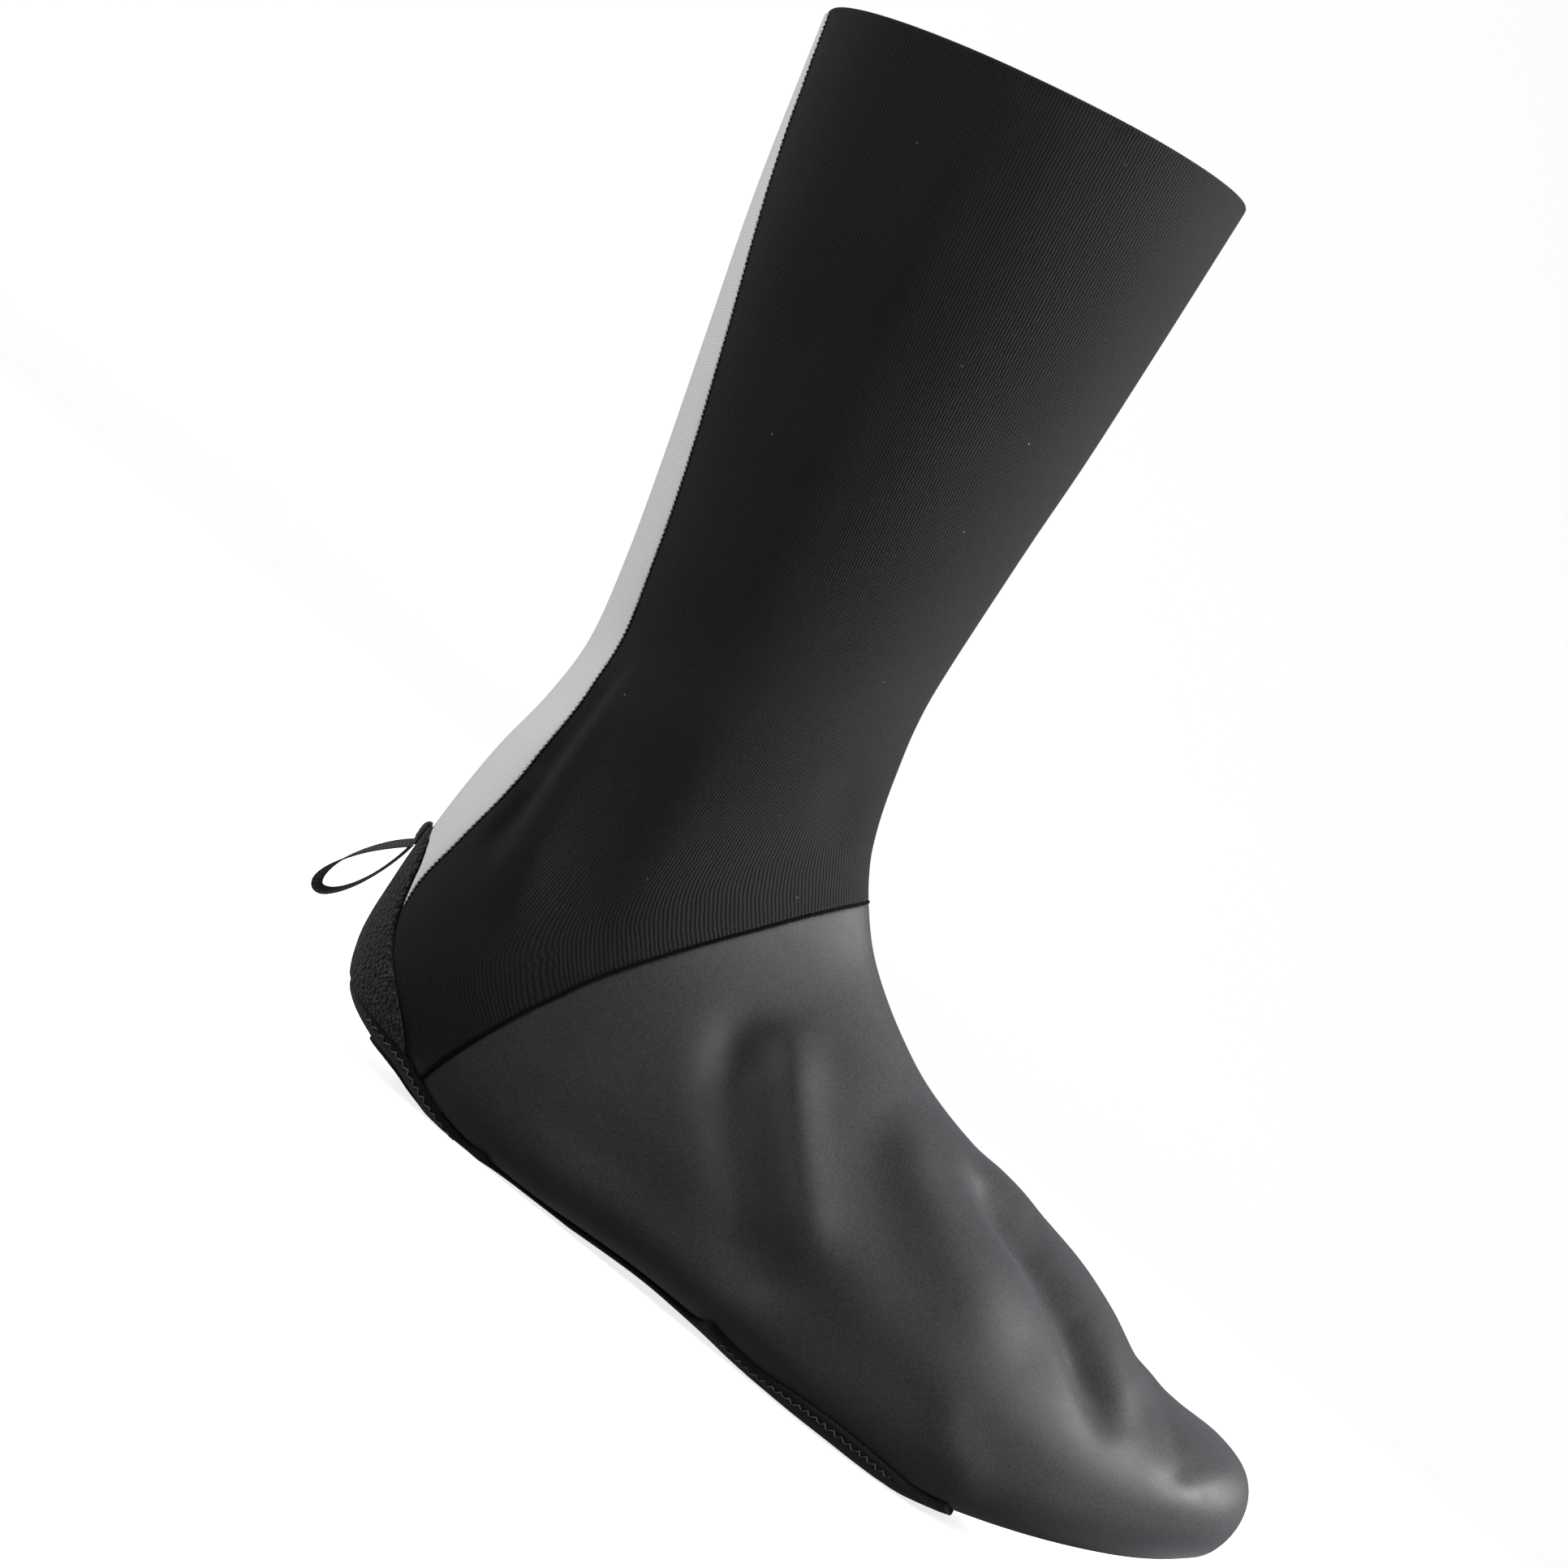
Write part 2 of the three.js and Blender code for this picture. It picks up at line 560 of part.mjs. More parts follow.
// Webbing tape that leaves the top of the heel patch, turns back and returns under its rolled end,
// a tab that lies on the patch's top edge.
function pullLoop() {
  const seat = SEAT_GAP + PATCH_THICKNESS + SEAT_GAP;
  const base = offsetPoint(LOOP_STATION, 0, seat);
  const out = surfaceNormal(LOOP_STATION, 0);
  const up = new THREE.Vector3(-out.z, 0, out.x).negate();
  const tab = [];
  const tabSteps = 12;
  for (let i = 0; i <= tabSteps; i += 1) {
    const angle = (Math.PI * i) / tabSteps;
    const along = (TAB_LENGTH / 2) * Math.cos(angle);
    const point = base.clone().addScaledVector(up, along);
    point.addScaledVector(out, TAB_THICKNESS * Math.sin(angle));
    tab.push([point.x, point.z]);
  }
  const line = loopLine(26);
  const ribbon = [...shiftLine(line, TAPE_THICKNESS / 2), ...shiftLine(line, -TAPE_THICKNESS / 2).reverse()];
  const loop = sidePrism(ribbon, TAPE_WIDTH);
  const root = base.clone().addScaledVector(out, TAB_THICKNESS / 3).addScaledVector(up, -TAB_LENGTH / 3);
  const droop = new THREE.Matrix4().makeRotationY(THREE.MathUtils.degToRad(180 - LOOP_DROOP));
  const twist = new THREE.Matrix4().makeRotationX(THREE.MathUtils.degToRad(LOOP_TWIST));
  const place = new THREE.Matrix4().makeTranslation(root.x, root.y, root.z).multiply(droop).multiply(twist);
  return loop.transform(place.elements).add(sidePrism(tab, TAPE_WIDTH + TAPE_THICKNESS));
}

const overshoe = new THREE.Group();

function addPiece(name, solid, color, roughness) {
  const material = new THREE.MeshStandardMaterial({ color, roughness, metalness: 0 });
  const mesh = new THREE.Mesh(geometryFromSolid(solid), material);
  mesh.name = name;
  overshoe.add(mesh);
}

addPiece('vamp', footPanel(), 0x39393b, 0.5);
addPiece('shaft', shaftPanel(), 0x17171a, 0.75);
addPiece('sole', solePanel(), 0x121214, 0.85);
addPiece('heel_patch', heelPatch(), 0x141416, 0.95);
addPiece('back_stripe', backStripe(), 0xc6c6ca, 0.45);
addPiece('pull_loop', pullLoop(), 0x1d1d1f, 0.8);

// The origin lies under the middle of the whole cover, on the floor.
const bounds = new THREE.Box3().setFromObject(overshoe);
const middle = bounds.getCenter(new THREE.Vector3());
overshoe.position.set(-middle.x, -middle.y, -bounds.min.z);

export default overshoe;
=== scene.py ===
"""Look of the cycling overshoe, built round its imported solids.

Lengths are in millimetres in the shoe's own frame, with x = 0 at the back of the heel and z = 0 on
the floor, until place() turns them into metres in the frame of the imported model.
"""

import math

import bpy
import numpy as np
from mathutils import Matrix, Vector


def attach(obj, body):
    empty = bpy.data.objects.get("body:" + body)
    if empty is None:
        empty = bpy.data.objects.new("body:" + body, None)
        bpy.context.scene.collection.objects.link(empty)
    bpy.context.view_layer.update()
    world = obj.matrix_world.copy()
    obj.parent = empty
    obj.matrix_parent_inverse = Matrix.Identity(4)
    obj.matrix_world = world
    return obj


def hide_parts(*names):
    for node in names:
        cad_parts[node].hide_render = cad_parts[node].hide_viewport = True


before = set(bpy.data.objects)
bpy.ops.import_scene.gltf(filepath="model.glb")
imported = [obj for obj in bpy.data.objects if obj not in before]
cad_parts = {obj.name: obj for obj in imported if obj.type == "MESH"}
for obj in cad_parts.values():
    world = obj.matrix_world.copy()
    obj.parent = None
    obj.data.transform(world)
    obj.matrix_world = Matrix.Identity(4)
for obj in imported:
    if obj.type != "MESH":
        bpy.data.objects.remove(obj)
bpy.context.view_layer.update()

# The part's sizes
FOOT_LENGTH = 294.0
BALL_WIDTH = 106.0
INSTEP_HEIGHT = 110.0
TOE_SPRING = 28.0
ARCH_HEIGHT = 7.0
HEEL_WIDTH = 74.0
HEEL_HEIGHT = 66.0
ANKLE_DEPTH = 84.0
ANKLE_WIDTH = 74.0
COLLAR_DEPTH = 124.0
COLLAR_WIDTH = 102.0
COLLAR_HEIGHT = 333.0
COLLAR_DROP = 28.0
SHAFT_LEAN = 53.0
FOOT_WALL = 1.5
SHAFT_WALL = 1.3
SOLE_THICKNESS = 1.6
PATCH_THICKNESS = 1.4
STRIPE_THICKNESS = 0.4
SEAT_GAP = 0.3
SOLE_WRAP = 8.6
FLOOR_OFFSET = SEAT_GAP + SOLE_THICKNESS
ORIGIN = np.array([120.265, -0.023, 0.0])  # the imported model's origin in the shoe's frame

# Sections of the form from the toe to the collar, in shares of the sizes above. flat and dome square
# the lower and upper half, tuck and pinch narrow them, swing moves all to the inner side, and arch
# lifts the inner edge: x low high width swing widest flat dome pinch arch
FOOT = [
    (1.0, 1.561, 0.4145, 0.0, 0.075, 0.48, 2.2, 2.0, 0, 0),
    (0.992, 1.218, 0.496, 0.222, 0.074, 0.48, 2.2, 2.0, 0, 0),
    (0.97, 0.996, 0.553, 0.443, 0.07, 0.46, 2.3, 2.1, 0, 0),
    (0.932, 0.746, 0.58, 0.642, 0.062, 0.43, 2.6, 2.1, 0, 0),
    (0.881, 0.5, 0.586, 0.79, 0.05, 0.4, 2.9, 2.1, 0.02, 0),
    (0.82, 0.257, 0.61, 0.905, 0.033, 0.38, 3.1, 2.1, 0.04, 0),
    (0.755, 0.05, 0.668, 0.975, 0.018, 0.37, 3.3, 2.1, 0.06, 0),
    (0.694, -0.08, 0.713, 1.0, 0.002, 0.36, 3.3, 2.1, 0.1, 0.05),
    (0.626, -0.095, 0.754, 0.975, -0.02, 0.35, 3.3, 2.0, 0.14, 0.25),
    (0.558, -0.075, 0.786, 0.905, -0.038, 0.34, 3.3, 2.0, 0.18, 0.65),
]
# lowX lowZ highX highZ width swing widest flat dome pinch tuck arch
HEEL = [
    (0.483, 0.0, 1.774, 0.825, 1.175, -0.062, 0.33, 3.3, 2.0, 0.2, 0, 1),
    (0.412, 0.012, 1.619, 0.88, 1.085, -0.055, 0.32, 3.4, 2.0, 0.22, 0, 1),
    (0.337, -0.004, 1.488, 0.939, 1.03, -0.04, 0.31, 3.5, 2.0, 0.24, 0, 0.65),
    (0.262, -0.03, 1.381, 1.0, 1.005, -0.024, 0.31, 3.5, 2.0, 0.25, 0, 0.2),
    (0.184, -0.026, 1.289, 1.073, 1.0, -0.01, 0.32, 3.3, 2.0, 0.25, 0, 0),
    (0.112, 0.052, 1.214, 1.148, 0.992, 0, 0.35, 3.0, 2.0, 0.24, 0, 0),
    (0.043, 0.172, 1.162, 1.225, 0.986, 0, 0.39, 2.8, 2.0, 0.22, 0, 0),
    (0.0155, 0.362, 1.119, 1.305, 0.99, 0, 0.44, 2.6, 2.0, 0.2, 0.04, 0),
    (0.006, 0.653, 1.082, 1.391, 1.0, 0, 0.48, 2.4, 2.0, 0.18, 0.1, 0),
    (0.002, 1.0, 1.048, 1.482, 1.005, 0, 0.5, 2.3, 2.0, 0.16, 0.18, 0),
    (0.0035, 1.335, 1.024, 1.573, 1.005, 0, 0.5, 2.2, 2.0, 0.15, 0.22, 0),
]
# lean back front flare widest flat dome pinch tuck
SHAFT = [
    (-0.058, 0.361, 0.553, -0.06, 0.5, 2.15, 2.05, 0.14, 0.22),
    (-0.048, 0.426, 0.589, -0.075, 0.5, 2.1, 2.05, 0.13, 0.2),
    (0.068, 0.505, 0.629, 0.05, 0.5, 2.1, 2.1, 0.12, 0.15),
    (0.234, 0.593, 0.68, 0.235, 0.5, 2.1, 2.1, 0.1, 0.1),
    (0.453, 0.703, 0.757, 0.48, 0.5, 2.1, 2.1, 0.08, 0.05),
    (0.717, 0.836, 0.862, 0.745, 0.5, 2.1, 2.1, 0.06, 0.02),
    (1.0, 1.0, 1.0, 1.0, 0.5, 2.1, 2.1, 0.05, 0),
]
COLLAR = len(FOOT) + len(HEEL) + len(SHAFT) - 1  # the collar's station

# Borders as (station, turn)
SEAM = [(14.66, 0.06), (14.73, 0.131), (14.98, 0.224), (15.11, 0.266), (15.0, 0.316), (14.72, 0.373),
        (14.21, 0.483), (14.2, 0.5)]
PATCH = [(18.72, 0.03), (18.55, 0.056), (18.26, 0.08), (17.85, 0.096), (17.34, 0.116), (16.66, 0.139),
         (16.26, 0.15), (15.91, 0.154), (15.4, 0.145), (15.18, 0.134), (14.9, 0.12)]
STRIPE = [(17.02, 0.126), (17.5, 0.114), (17.9, 0.109), (18.4, 0.121), (18.87, 0.131), (20, 0.129),
          (21.4, 0.111), (22.45, 0.102), (24, 0.092), (25.6, 0.069), (26.4, 0.048), (26.97, 0.034)]
# Sole: station, height of its edge in sole wraps, outer and inner half widths in half widths
SOLE = [
    (5.72, 0.5, 0.2, 0.2), (5.78, 0.5, 0.42, 0.42), (5.92, 0.5, 0.66, 0.66), (6.15, 0.45, 0.86, 0.86),
    (6.5, 0.5, 1.02, 1.02), (7.2, 0.76, 1.2, 1.2), (7.8, 0.8, 1.2, 1.2), (8.6, 0.64, 1.2, 1.2),
    (9.3, 0.32, 1.2, 1.2), (9.85, 0.25, 1.1, 1.0), (10.1, 0.35, 0.66, 0.62), (10.5, 0.6, 0.52, 0.48),
    (11.5, 0.9, 0.46, 0.42), (12.6, 0.9, 0.48, 0.46), (13.3, 0.5, 0.6, 0.6), (13.7, 0.3, 0.85, 0.85),
    (14.1, 0.36, 1.2, 1.2), (14.6, 0.48, 1.2, 1.2), (15.0, 0.57, 1.2, 1.2), (15.5, 0.45, 1.2, 1.2),
    (16.0, 0.2, 1.2, 1.2), (16.35, 0.0, 1.2, 1.2),
]
# The upper's opening, which laps inside the sole: stations of its ends and the runs over which it
# narrows to them, its most share of the half width, and its inset in millimetres
LAP_FRONT = 6.15
LAP_BACK = 15.5
LAP_FRONT_RUN = 0.35
LAP_BACK_RUN = 0.5
LAP_MOST_SHARE = 0.76
LAP_INSET = 4.0
PORTS = [(0.64 * FOOT_LENGTH, 44.0, 38.0), (0.13 * FOOT_LENGTH, 26.0, 32.0)]  # place, length, width
PORT_CORNER = 11.0


# The form function

KEYS = ("midX", "midZ", "halfX", "halfZ", "halfY", "swing", "tuck", "arch", "widest", "flat", "dome",
        "pinch")


def section(low_x, low_z, high_x, high_z, width, swing, widest, flat, dome, pinch, tuck=0.0, arch=0.0):
    return [(low_x + high_x) / 2, (low_z + high_z) / 2, (high_x - low_x) / 2, (high_z - low_z) / 2,
            width / 2, swing, tuck, arch * ARCH_HEIGHT, widest, flat, dome, pinch]


def all_sections():
    rows = []
    for x, low, high, width, swing, widest, flat, dome, pinch, arch in FOOT:
        x *= FOOT_LENGTH
        rows.append(section(x, FLOOR_OFFSET + low * TOE_SPRING, x, high * INSTEP_HEIGHT, width * BALL_WIDTH,
                            swing * BALL_WIDTH, widest, flat, dome, pinch, 0, arch))
    for low_x, low_z, high_x, high_z, width, swing, widest, flat, dome, pinch, tuck, arch in HEEL:
        rows.append(section(low_x * FOOT_LENGTH, FLOOR_OFFSET + low_z * HEEL_HEIGHT, high_x * ANKLE_DEPTH,
                            high_z * INSTEP_HEIGHT, width * HEEL_WIDTH, swing * HEEL_WIDTH, widest, flat,
                            dome, pinch, tuck, arch))
    for lean, back, front, flare, widest, flat, dome, pinch, tuck in SHAFT:
        back_x = -lean * SHAFT_LEAN
        depth = ANKLE_DEPTH + (COLLAR_DEPTH - ANKLE_DEPTH) * flare
        width = ANKLE_WIDTH + (COLLAR_WIDTH - ANKLE_WIDTH) * flare
        rows.append(section(back_x, back * (COLLAR_HEIGHT - COLLAR_DROP), back_x + depth,
                            front * COLLAR_HEIGHT, width, 0, widest, flat, dome, pinch, tuck))
    mirrored = list(rows[1])
    for key in ("halfX", "halfZ", "halfY"):
        mirrored[KEYS.index(key)] *= -1
    beyond = [2 * a - b for a, b in zip(rows[-1], rows[-2])]
    further = [2 * a - b for a, b in zip(beyond, rows[-1])]
    return np.array([mirrored, *rows, beyond, further])


SECTIONS = all_sections()


def unit(vectors):
    return vectors / np.maximum(np.linalg.norm(vectors, axis=-1, keepdims=True), 1e-9)


def run_along(line):
    """Length along a line, or along each column of a grid, up to each of its rows."""
    step = np.linalg.norm(np.diff(line, axis=0), axis=-1)
    return np.concatenate([np.zeros((1, *step.shape[1:])), np.cumsum(step, axis=0)])


def smooth(t):
    t = np.clip(t, 0, 1)
    return t * t * (3 - 2 * t)


def blended(station):
    """The section at any station, on a smooth curve through the rows."""
    base = np.clip(np.floor(station), 0, COLLAR).astype(int)
    t = station - base
    weights = ((-t + 2 * t**2 - t**3) / 2, (2 - 5 * t**2 + 3 * t**3) / 2,
               (t + 4 * t**2 - 3 * t**3) / 2, (-(t**2) + t**3) / 2)
    rows = sum(w[..., None] * SECTIONS[np.clip(base + k, 0, len(SECTIONS) - 1)]
               for k, w in enumerate(weights))
    return {key: rows[..., i] for i, key in enumerate(KEYS)}


def surface(station, turn):
    """Points of the filled cover. turn goes from 0 below or behind, by the outer side, to 0.5."""
    station, turn = np.broadcast_arrays(np.asarray(station, float), np.asarray(turn, float))
    s = blended(station)
    wrapped = turn - np.floor(turn)
    side = np.where(wrapped <= 0.5, -1.0, 1.0)
    t = np.where(wrapped <= 0.5, 4 * wrapped, 4 * (1 - wrapped))
    low = t <= 1
    square = np.where(low, s["flat"], s["dome"])
    angle = (math.pi / 2) * np.where(low, t, 2 - t) ** (square / 2)
    reach = np.clip(np.cos(angle), 0, 1) ** (2 / square)
    height = np.where(low, s["widest"] * (1 - reach), s["widest"] + (1 - s["widest"]) * reach)
    taper = np.where(low, 1 - s["tuck"] * reach**2, 1 - s["pinch"] * reach**2)
    y = side * s["halfY"] * np.sin(angle) ** (2 / square) * taper
    wide = np.abs(s["halfY"])
    inner = np.where(wide > 1e-9, y / np.maximum(wide, 1e-9), 0)
    lift = s["arch"] * smooth((inner + 0.5) / 1.4) * (1 - height) ** 2
    return np.stack([s["midX"] + s["halfX"] * (2 * height - 1), s["swing"] + y,
                     s["midZ"] + s["halfZ"] * (2 * height - 1) + lift], -1)


def normals(station, turn):
    step = 0.01
    station, turn = np.broadcast_arrays(np.asarray(station, float), np.asarray(turn, float))
    along = surface(station + step, turn) - surface(np.maximum(station - step, 0), turn)
    around = surface(station, turn + step) - surface(station, turn - step)
    out = unit(np.cross(around, along))
    return np.where((station < step)[..., None], np.array([1.0, 0, 0]), out)


# Creases, each with its side (-1 outer, 1 inner), height, half width and line. The height and width
# are in millimetres; the line's x is in foot lengths and its z in instep heights, in the side view.
CREASES = [
    (-1, -3.9, 6.6, [(0.325, 0.745), (0.345, 0.636), (0.366, 0.536), (0.401, 0.432), (0.449, 0.309),
     (0.49, 0.2), (0.517, 0.132)]),
    (-1, 3.6, 5.8, [(0.369, 0.782), (0.391, 0.682), (0.425, 0.573), (0.463, 0.464),
     (0.5, 0.364), (0.537, 0.273)]),
    (-1, -0.9, 7.0, [(0.459, 0.773), (0.517, 0.618), (0.568, 0.482), (0.619, 0.364), (0.66, 0.291)]),
    (-1, 2.3, 6.0, [(0.49, 0.736), (0.535, 0.664), (0.585, 0.605), (0.663, 0.53), (0.735, 0.468)]),
    (-1, -5.8, 2.9, [(0.565, 0.735), (0.612, 0.712), (0.68, 0.665), (0.745, 0.588),
     (0.796, 0.505), (0.842, 0.42)]),
    (-1, 2.8, 3.2, [(0.58, 0.782), (0.612, 0.773), (0.67, 0.745), (0.721, 0.695),
     (0.776, 0.623), (0.82, 0.545), (0.85, 0.473)]),
    (-1, -1.2, 6.2, [(0.823, 0.6), (0.871, 0.568), (0.912, 0.518), (0.939, 0.464)]),
    (-1, -0.5, 1.8, [(0.789, 0.664), (0.837, 0.609), (0.874, 0.555), (0.905, 0.486), (0.918, 0.436)]),
    (-1, 0.2, 4.5, [(0.864, 0.473), (0.905, 0.427), (0.942, 0.382)]),
    (-1, -1.4, 7.5, [(0.17, 0.245), (0.306, 0.191), (0.449, 0.209), (0.599, 0.209), (0.762, 0.236)]),
    (-1, 1.0, 5.5, [(0.204, 0.109), (0.34, 0.123), (0.459, 0.109), (0.578, 0.114)]),
    (-1, 0.8, 5.0, [(0.667, 0.291), (0.707, 0.218), (0.745, 0.136), (0.769, 0.0727)]),
    (-1, 3.4, 4.6, [(0.0605, 1.27), (0.071, 1.07), (0.079, 0.864), (0.091, 0.655), (0.105, 0.436)]),
    (-1, -2.4, 2.2, [(0.0524, 1.25), (0.0534, 1.09), (0.0534, 0.945), (0.0551, 0.818),
     (0.0592, 0.691), (0.0646, 0.545)]),
    (-1, 0.7, 1.3, [(0.0537, 0.909), (0.0503, 0.8), (0.0456, 0.691), (0.0408, 0.564)]),
    (-1, -1.6, 7.0, [(0.119, 1.2), (0.139, 0.945), (0.156, 0.709), (0.173, 0.473)]),
    (-1, 1.5, 10.0, [(-0.0068, 2.89), (0.0204, 2.38), (0.051, 1.86), (0.0816, 1.36), (0.102, 1.09)]),
    (-1, -0.8, 10.0, [(-0.0476, 2.89), (-0.017, 2.38), (0.017, 1.86), (0.0442, 1.45)]),
    (-1, -0.7, 3.0, [(-0.0136, 2.84), (0.0272, 2.88), (0.0816, 2.92), (0.129, 2.94)]),
    (1, -2.6, 6.5, [(0.361, 0.736), (0.408, 0.582), (0.459, 0.455), (0.5, 0.318), (0.531, 0.218)]),
    (1, 1.8, 6.0, [(0.32, 0.7), (0.371, 0.518), (0.418, 0.382), (0.459, 0.264)]),
    (1, -3.0, 4.5, [(0.599, 0.718), (0.67, 0.664), (0.731, 0.582), (0.769, 0.482), (0.799, 0.382)]),
    (1, 1.5, 5.5, [(0.561, 0.664), (0.629, 0.582), (0.69, 0.482), (0.731, 0.382)]),
    (1, -1.0, 5.0, [(0.84, 0.582), (0.881, 0.527), (0.912, 0.464)]),
    (1, 1.5, 6.0, [(0.0748, 1.2), (0.085, 1), (0.0952, 0.8), (0.109, 0.6), (0.129, 0.418)]),
    (1, -1.3, 6.0, [(0.116, 1.2), (0.129, 0.982), (0.139, 0.782), (0.156, 0.582), (0.173, 0.4)]),
    (1, 0.8, 14.0, [(0.0204, 2.7), (0.0612, 2.3), (0.109, 1.9), (0.139, 1.5)]),
    (0, -1.2, 5.0, [(0.269, 1.34), (0.296, 1.22), (0.316, 1.1)]),
]

END_SHARE = 0.3  # share of a crease's line over which it fades in and out
SIDE_RUN = 6.0  # distance from the middle plane within which a crease fades to its own side
STILL_BELOW = 3.0
STILL_RUN = 14.0


def fold(point):
    """How far the creases move the points of the cover along its normal, in millimetres."""
    x, y, z = point[..., 0], point[..., 1], point[..., 2]
    total = np.zeros(x.shape)
    for side, height, wide, line in CREASES:
        knots = np.array([(a * FOOT_LENGTH, b * INSTEP_HEIGHT) for a, b in line])
        fine = np.linspace(0, len(knots) - 1, 8 * len(knots))
        px, pz = (np.interp(fine, range(len(knots)), knots[:, k]) for k in (0, 1))
        near = np.full(x.shape, 1e9)
        at = np.zeros(x.shape)
        for k in range(len(fine) - 1):
            dx, dz = px[k + 1] - px[k], pz[k + 1] - pz[k]
            t = np.clip(((x - px[k]) * dx + (z - pz[k]) * dz) / (dx * dx + dz * dz), 0, 1)
            gap = np.hypot(x - px[k] - t * dx, z - pz[k] - t * dz)
            closer = gap < near
            near = np.where(closer, gap, near)
            at = np.where(closer, (k + t) / (len(fine) - 1), at)
        ends = smooth(at / END_SHARE) * smooth((1 - at) / END_SHARE)
        facing = 1.0 if side == 0 else smooth((side * y + SIDE_RUN) / (2 * SIDE_RUN))
        total += height * ends * facing * np.exp(-0.5 * (near / (wide * (0.75 + 0.5 * at))) ** 2)
    # Nothing moves where the sole lies on the floor
    return total * smooth((z - STILL_BELOW) / STILL_RUN)


def place(points):
    """Millimetres in the shoe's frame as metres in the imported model's."""
    return (np.array(points, float) - ORIGIN) / 1000.0


# Meshes

def in_scene(name, data):
    made = bpy.data.objects.new(name, data)
    bpy.context.scene.collection.objects.link(made)
    return made


def make_object(name, points, faces, cloth, materials, nodes=(), face_material=None):
    """One piece. cloth gives each point's place on the cloth and its third value to the material."""
    mesh = bpy.data.meshes.new(name)
    mesh.from_pydata([tuple(p) for p in place(points)], [], [tuple(f) for f in faces])
    for material in materials:
        mesh.materials.append(material)
    if face_material is not None:
        mesh.polygons.foreach_set("material_index", np.asarray(face_material, np.int32))
    mesh.polygons.foreach_set("use_smooth", np.ones(len(mesh.polygons), bool))
    attribute = mesh.attributes.new("cloth", "FLOAT_VECTOR", "POINT")
    attribute.data.foreach_set("vector", np.asarray(cloth, np.float32).ravel())
    mesh.update()
    piece = in_scene(name, mesh)
    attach(piece, "root")
    if nodes:
        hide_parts(*nodes)
    return piece


def tube_faces(rows, sides):
    """Faces of a tube closed at its ends, whose points go round each of its rows in turn."""
    faces = [(i * sides + k, i * sides + (k + 1) % sides, (i + 1) * sides + (k + 1) % sides,
              (i + 1) * sides + k) for i in range(rows - 1) for k in range(sides)]
    return faces + [tuple(range(sides - 1, -1, -1)), tuple((rows - 1) * sides + k for k in range(sides))]


def sheet_mesh(outer, inner, cloth, joined=None, tip=False):
    """A closed sheet from two grids of points. joined says for each row whether its two ends meet,
    and tip that the first row is one point."""
    rows, cols = outer.shape[:2]
    index = np.arange(rows * cols).reshape(rows, cols)
    back = index + rows * cols
    joined = np.zeros(rows, bool) if joined is None else joined
    index[joined, -1] = index[joined, 0]
    back[joined, -1] = back[joined, 0]
    if tip:
        index[0, :] = index[0, 0]
        back[0, :] = back[0, 0]
    faces, kinds = [], []
    for i in range(rows - 1):
        for j in range(cols - 1):
            faces += [(index[i, j], index[i + 1, j], index[i + 1, j + 1], index[i, j + 1]),
                      (back[i, j], back[i, j + 1], back[i + 1, j + 1], back[i + 1, j])]
            kinds += [0, 1]
        if not (joined[i] and joined[i + 1]):
            faces += [(index[i, 0], back[i, 0], back[i + 1, 0], index[i + 1, 0]),
                      (index[i, -1], index[i + 1, -1], back[i + 1, -1], back[i, -1])]
            kinds += [0, 0]
    for j in range(cols - 1):
        faces += [(index[0, j], index[0, j + 1], back[0, j + 1], back[0, j]),
                  (index[-1, j], back[-1, j], back[-1, j + 1], index[-1, j + 1])]
        kinds += [0, 0]
    points = np.concatenate([outer.reshape(-1, 3), inner.reshape(-1, 3)])
    both = np.concatenate([cloth.reshape(-1, 3)] * 2)
    # Faces lose the corners that they have twice, and points that no face uses are dropped
    short = [tuple(dict.fromkeys(int(v) for v in f)) for f in faces]
    kinds = [k for f, k in zip(short, kinds) if len(f) > 2]
    short = [f for f in short if len(f) > 2]
    used = np.unique(np.concatenate(short))
    number = np.full(len(points), -1)
    number[used] = np.arange(len(used))
    return points[used], [tuple(int(number[v]) for v in f) for f in short], kinds, both[used]


def cloth_coordinates(points, around_from):
    """Lengths along the cloth in millimetres: x round the leg from column around_from, y along it."""
    across = np.linalg.norm(np.diff(points, axis=1), axis=-1)
    x = np.concatenate([np.zeros((len(points), 1)), np.cumsum(across, axis=1)], axis=1)
    x -= x[:, around_from:around_from + 1]
    return np.stack([x, run_along(points), np.zeros(x.shape)], -1)


def line_at(rows, values):
    """A smooth line through rows of (key, value), read at values; keys rise or fall all the way."""
    rows = sorted((float(r[0]), *[float(v) for v in r[1:]]) for r in rows)
    keys = np.array([r[0] for r in rows])
    data = np.array([r[1:] for r in rows])
    values = np.clip(values, keys[0], keys[-1])
    slopes = np.gradient(data, keys, axis=0)
    k = np.clip(np.searchsorted(keys, values) - 1, 0, len(keys) - 2)
    gap = keys[k + 1] - keys[k]
    t = ((values - keys[k]) / gap)[..., None]
    step = gap[..., None]
    return ((2 * t**3 - 3 * t**2 + 1) * data[k] + (t**3 - 2 * t**2 + t) * step * slopes[k]
            + (-2 * t**3 + 3 * t**2) * data[k + 1] + (t**3 - t**2) * step * slopes[k + 1])


def edge_turn(border, station):
    return line_at(border, np.asarray(station, float))[..., 0]


def seam_station(turn):
    folded = np.minimum(turn % 1.0, 1 - turn % 1.0)
    return line_at([(t, s) for s, t in SEAM], folded)[..., 0]


def low_turn(station, side, limit):
    """The turn, from 0 up the outer (-1) or inner (1) side, at which limit stops holding."""
    fine = np.linspace(0, 0.24, 500)
    turns = fine if side < 0 else 1 - fine
    found = np.zeros(len(station))
    for i, s in enumerate(station):
        keep = limit(s, surface(s, turns), side)
        found[i] = fine[-1] if keep.all() else fine[np.argmin(keep)]
    return found


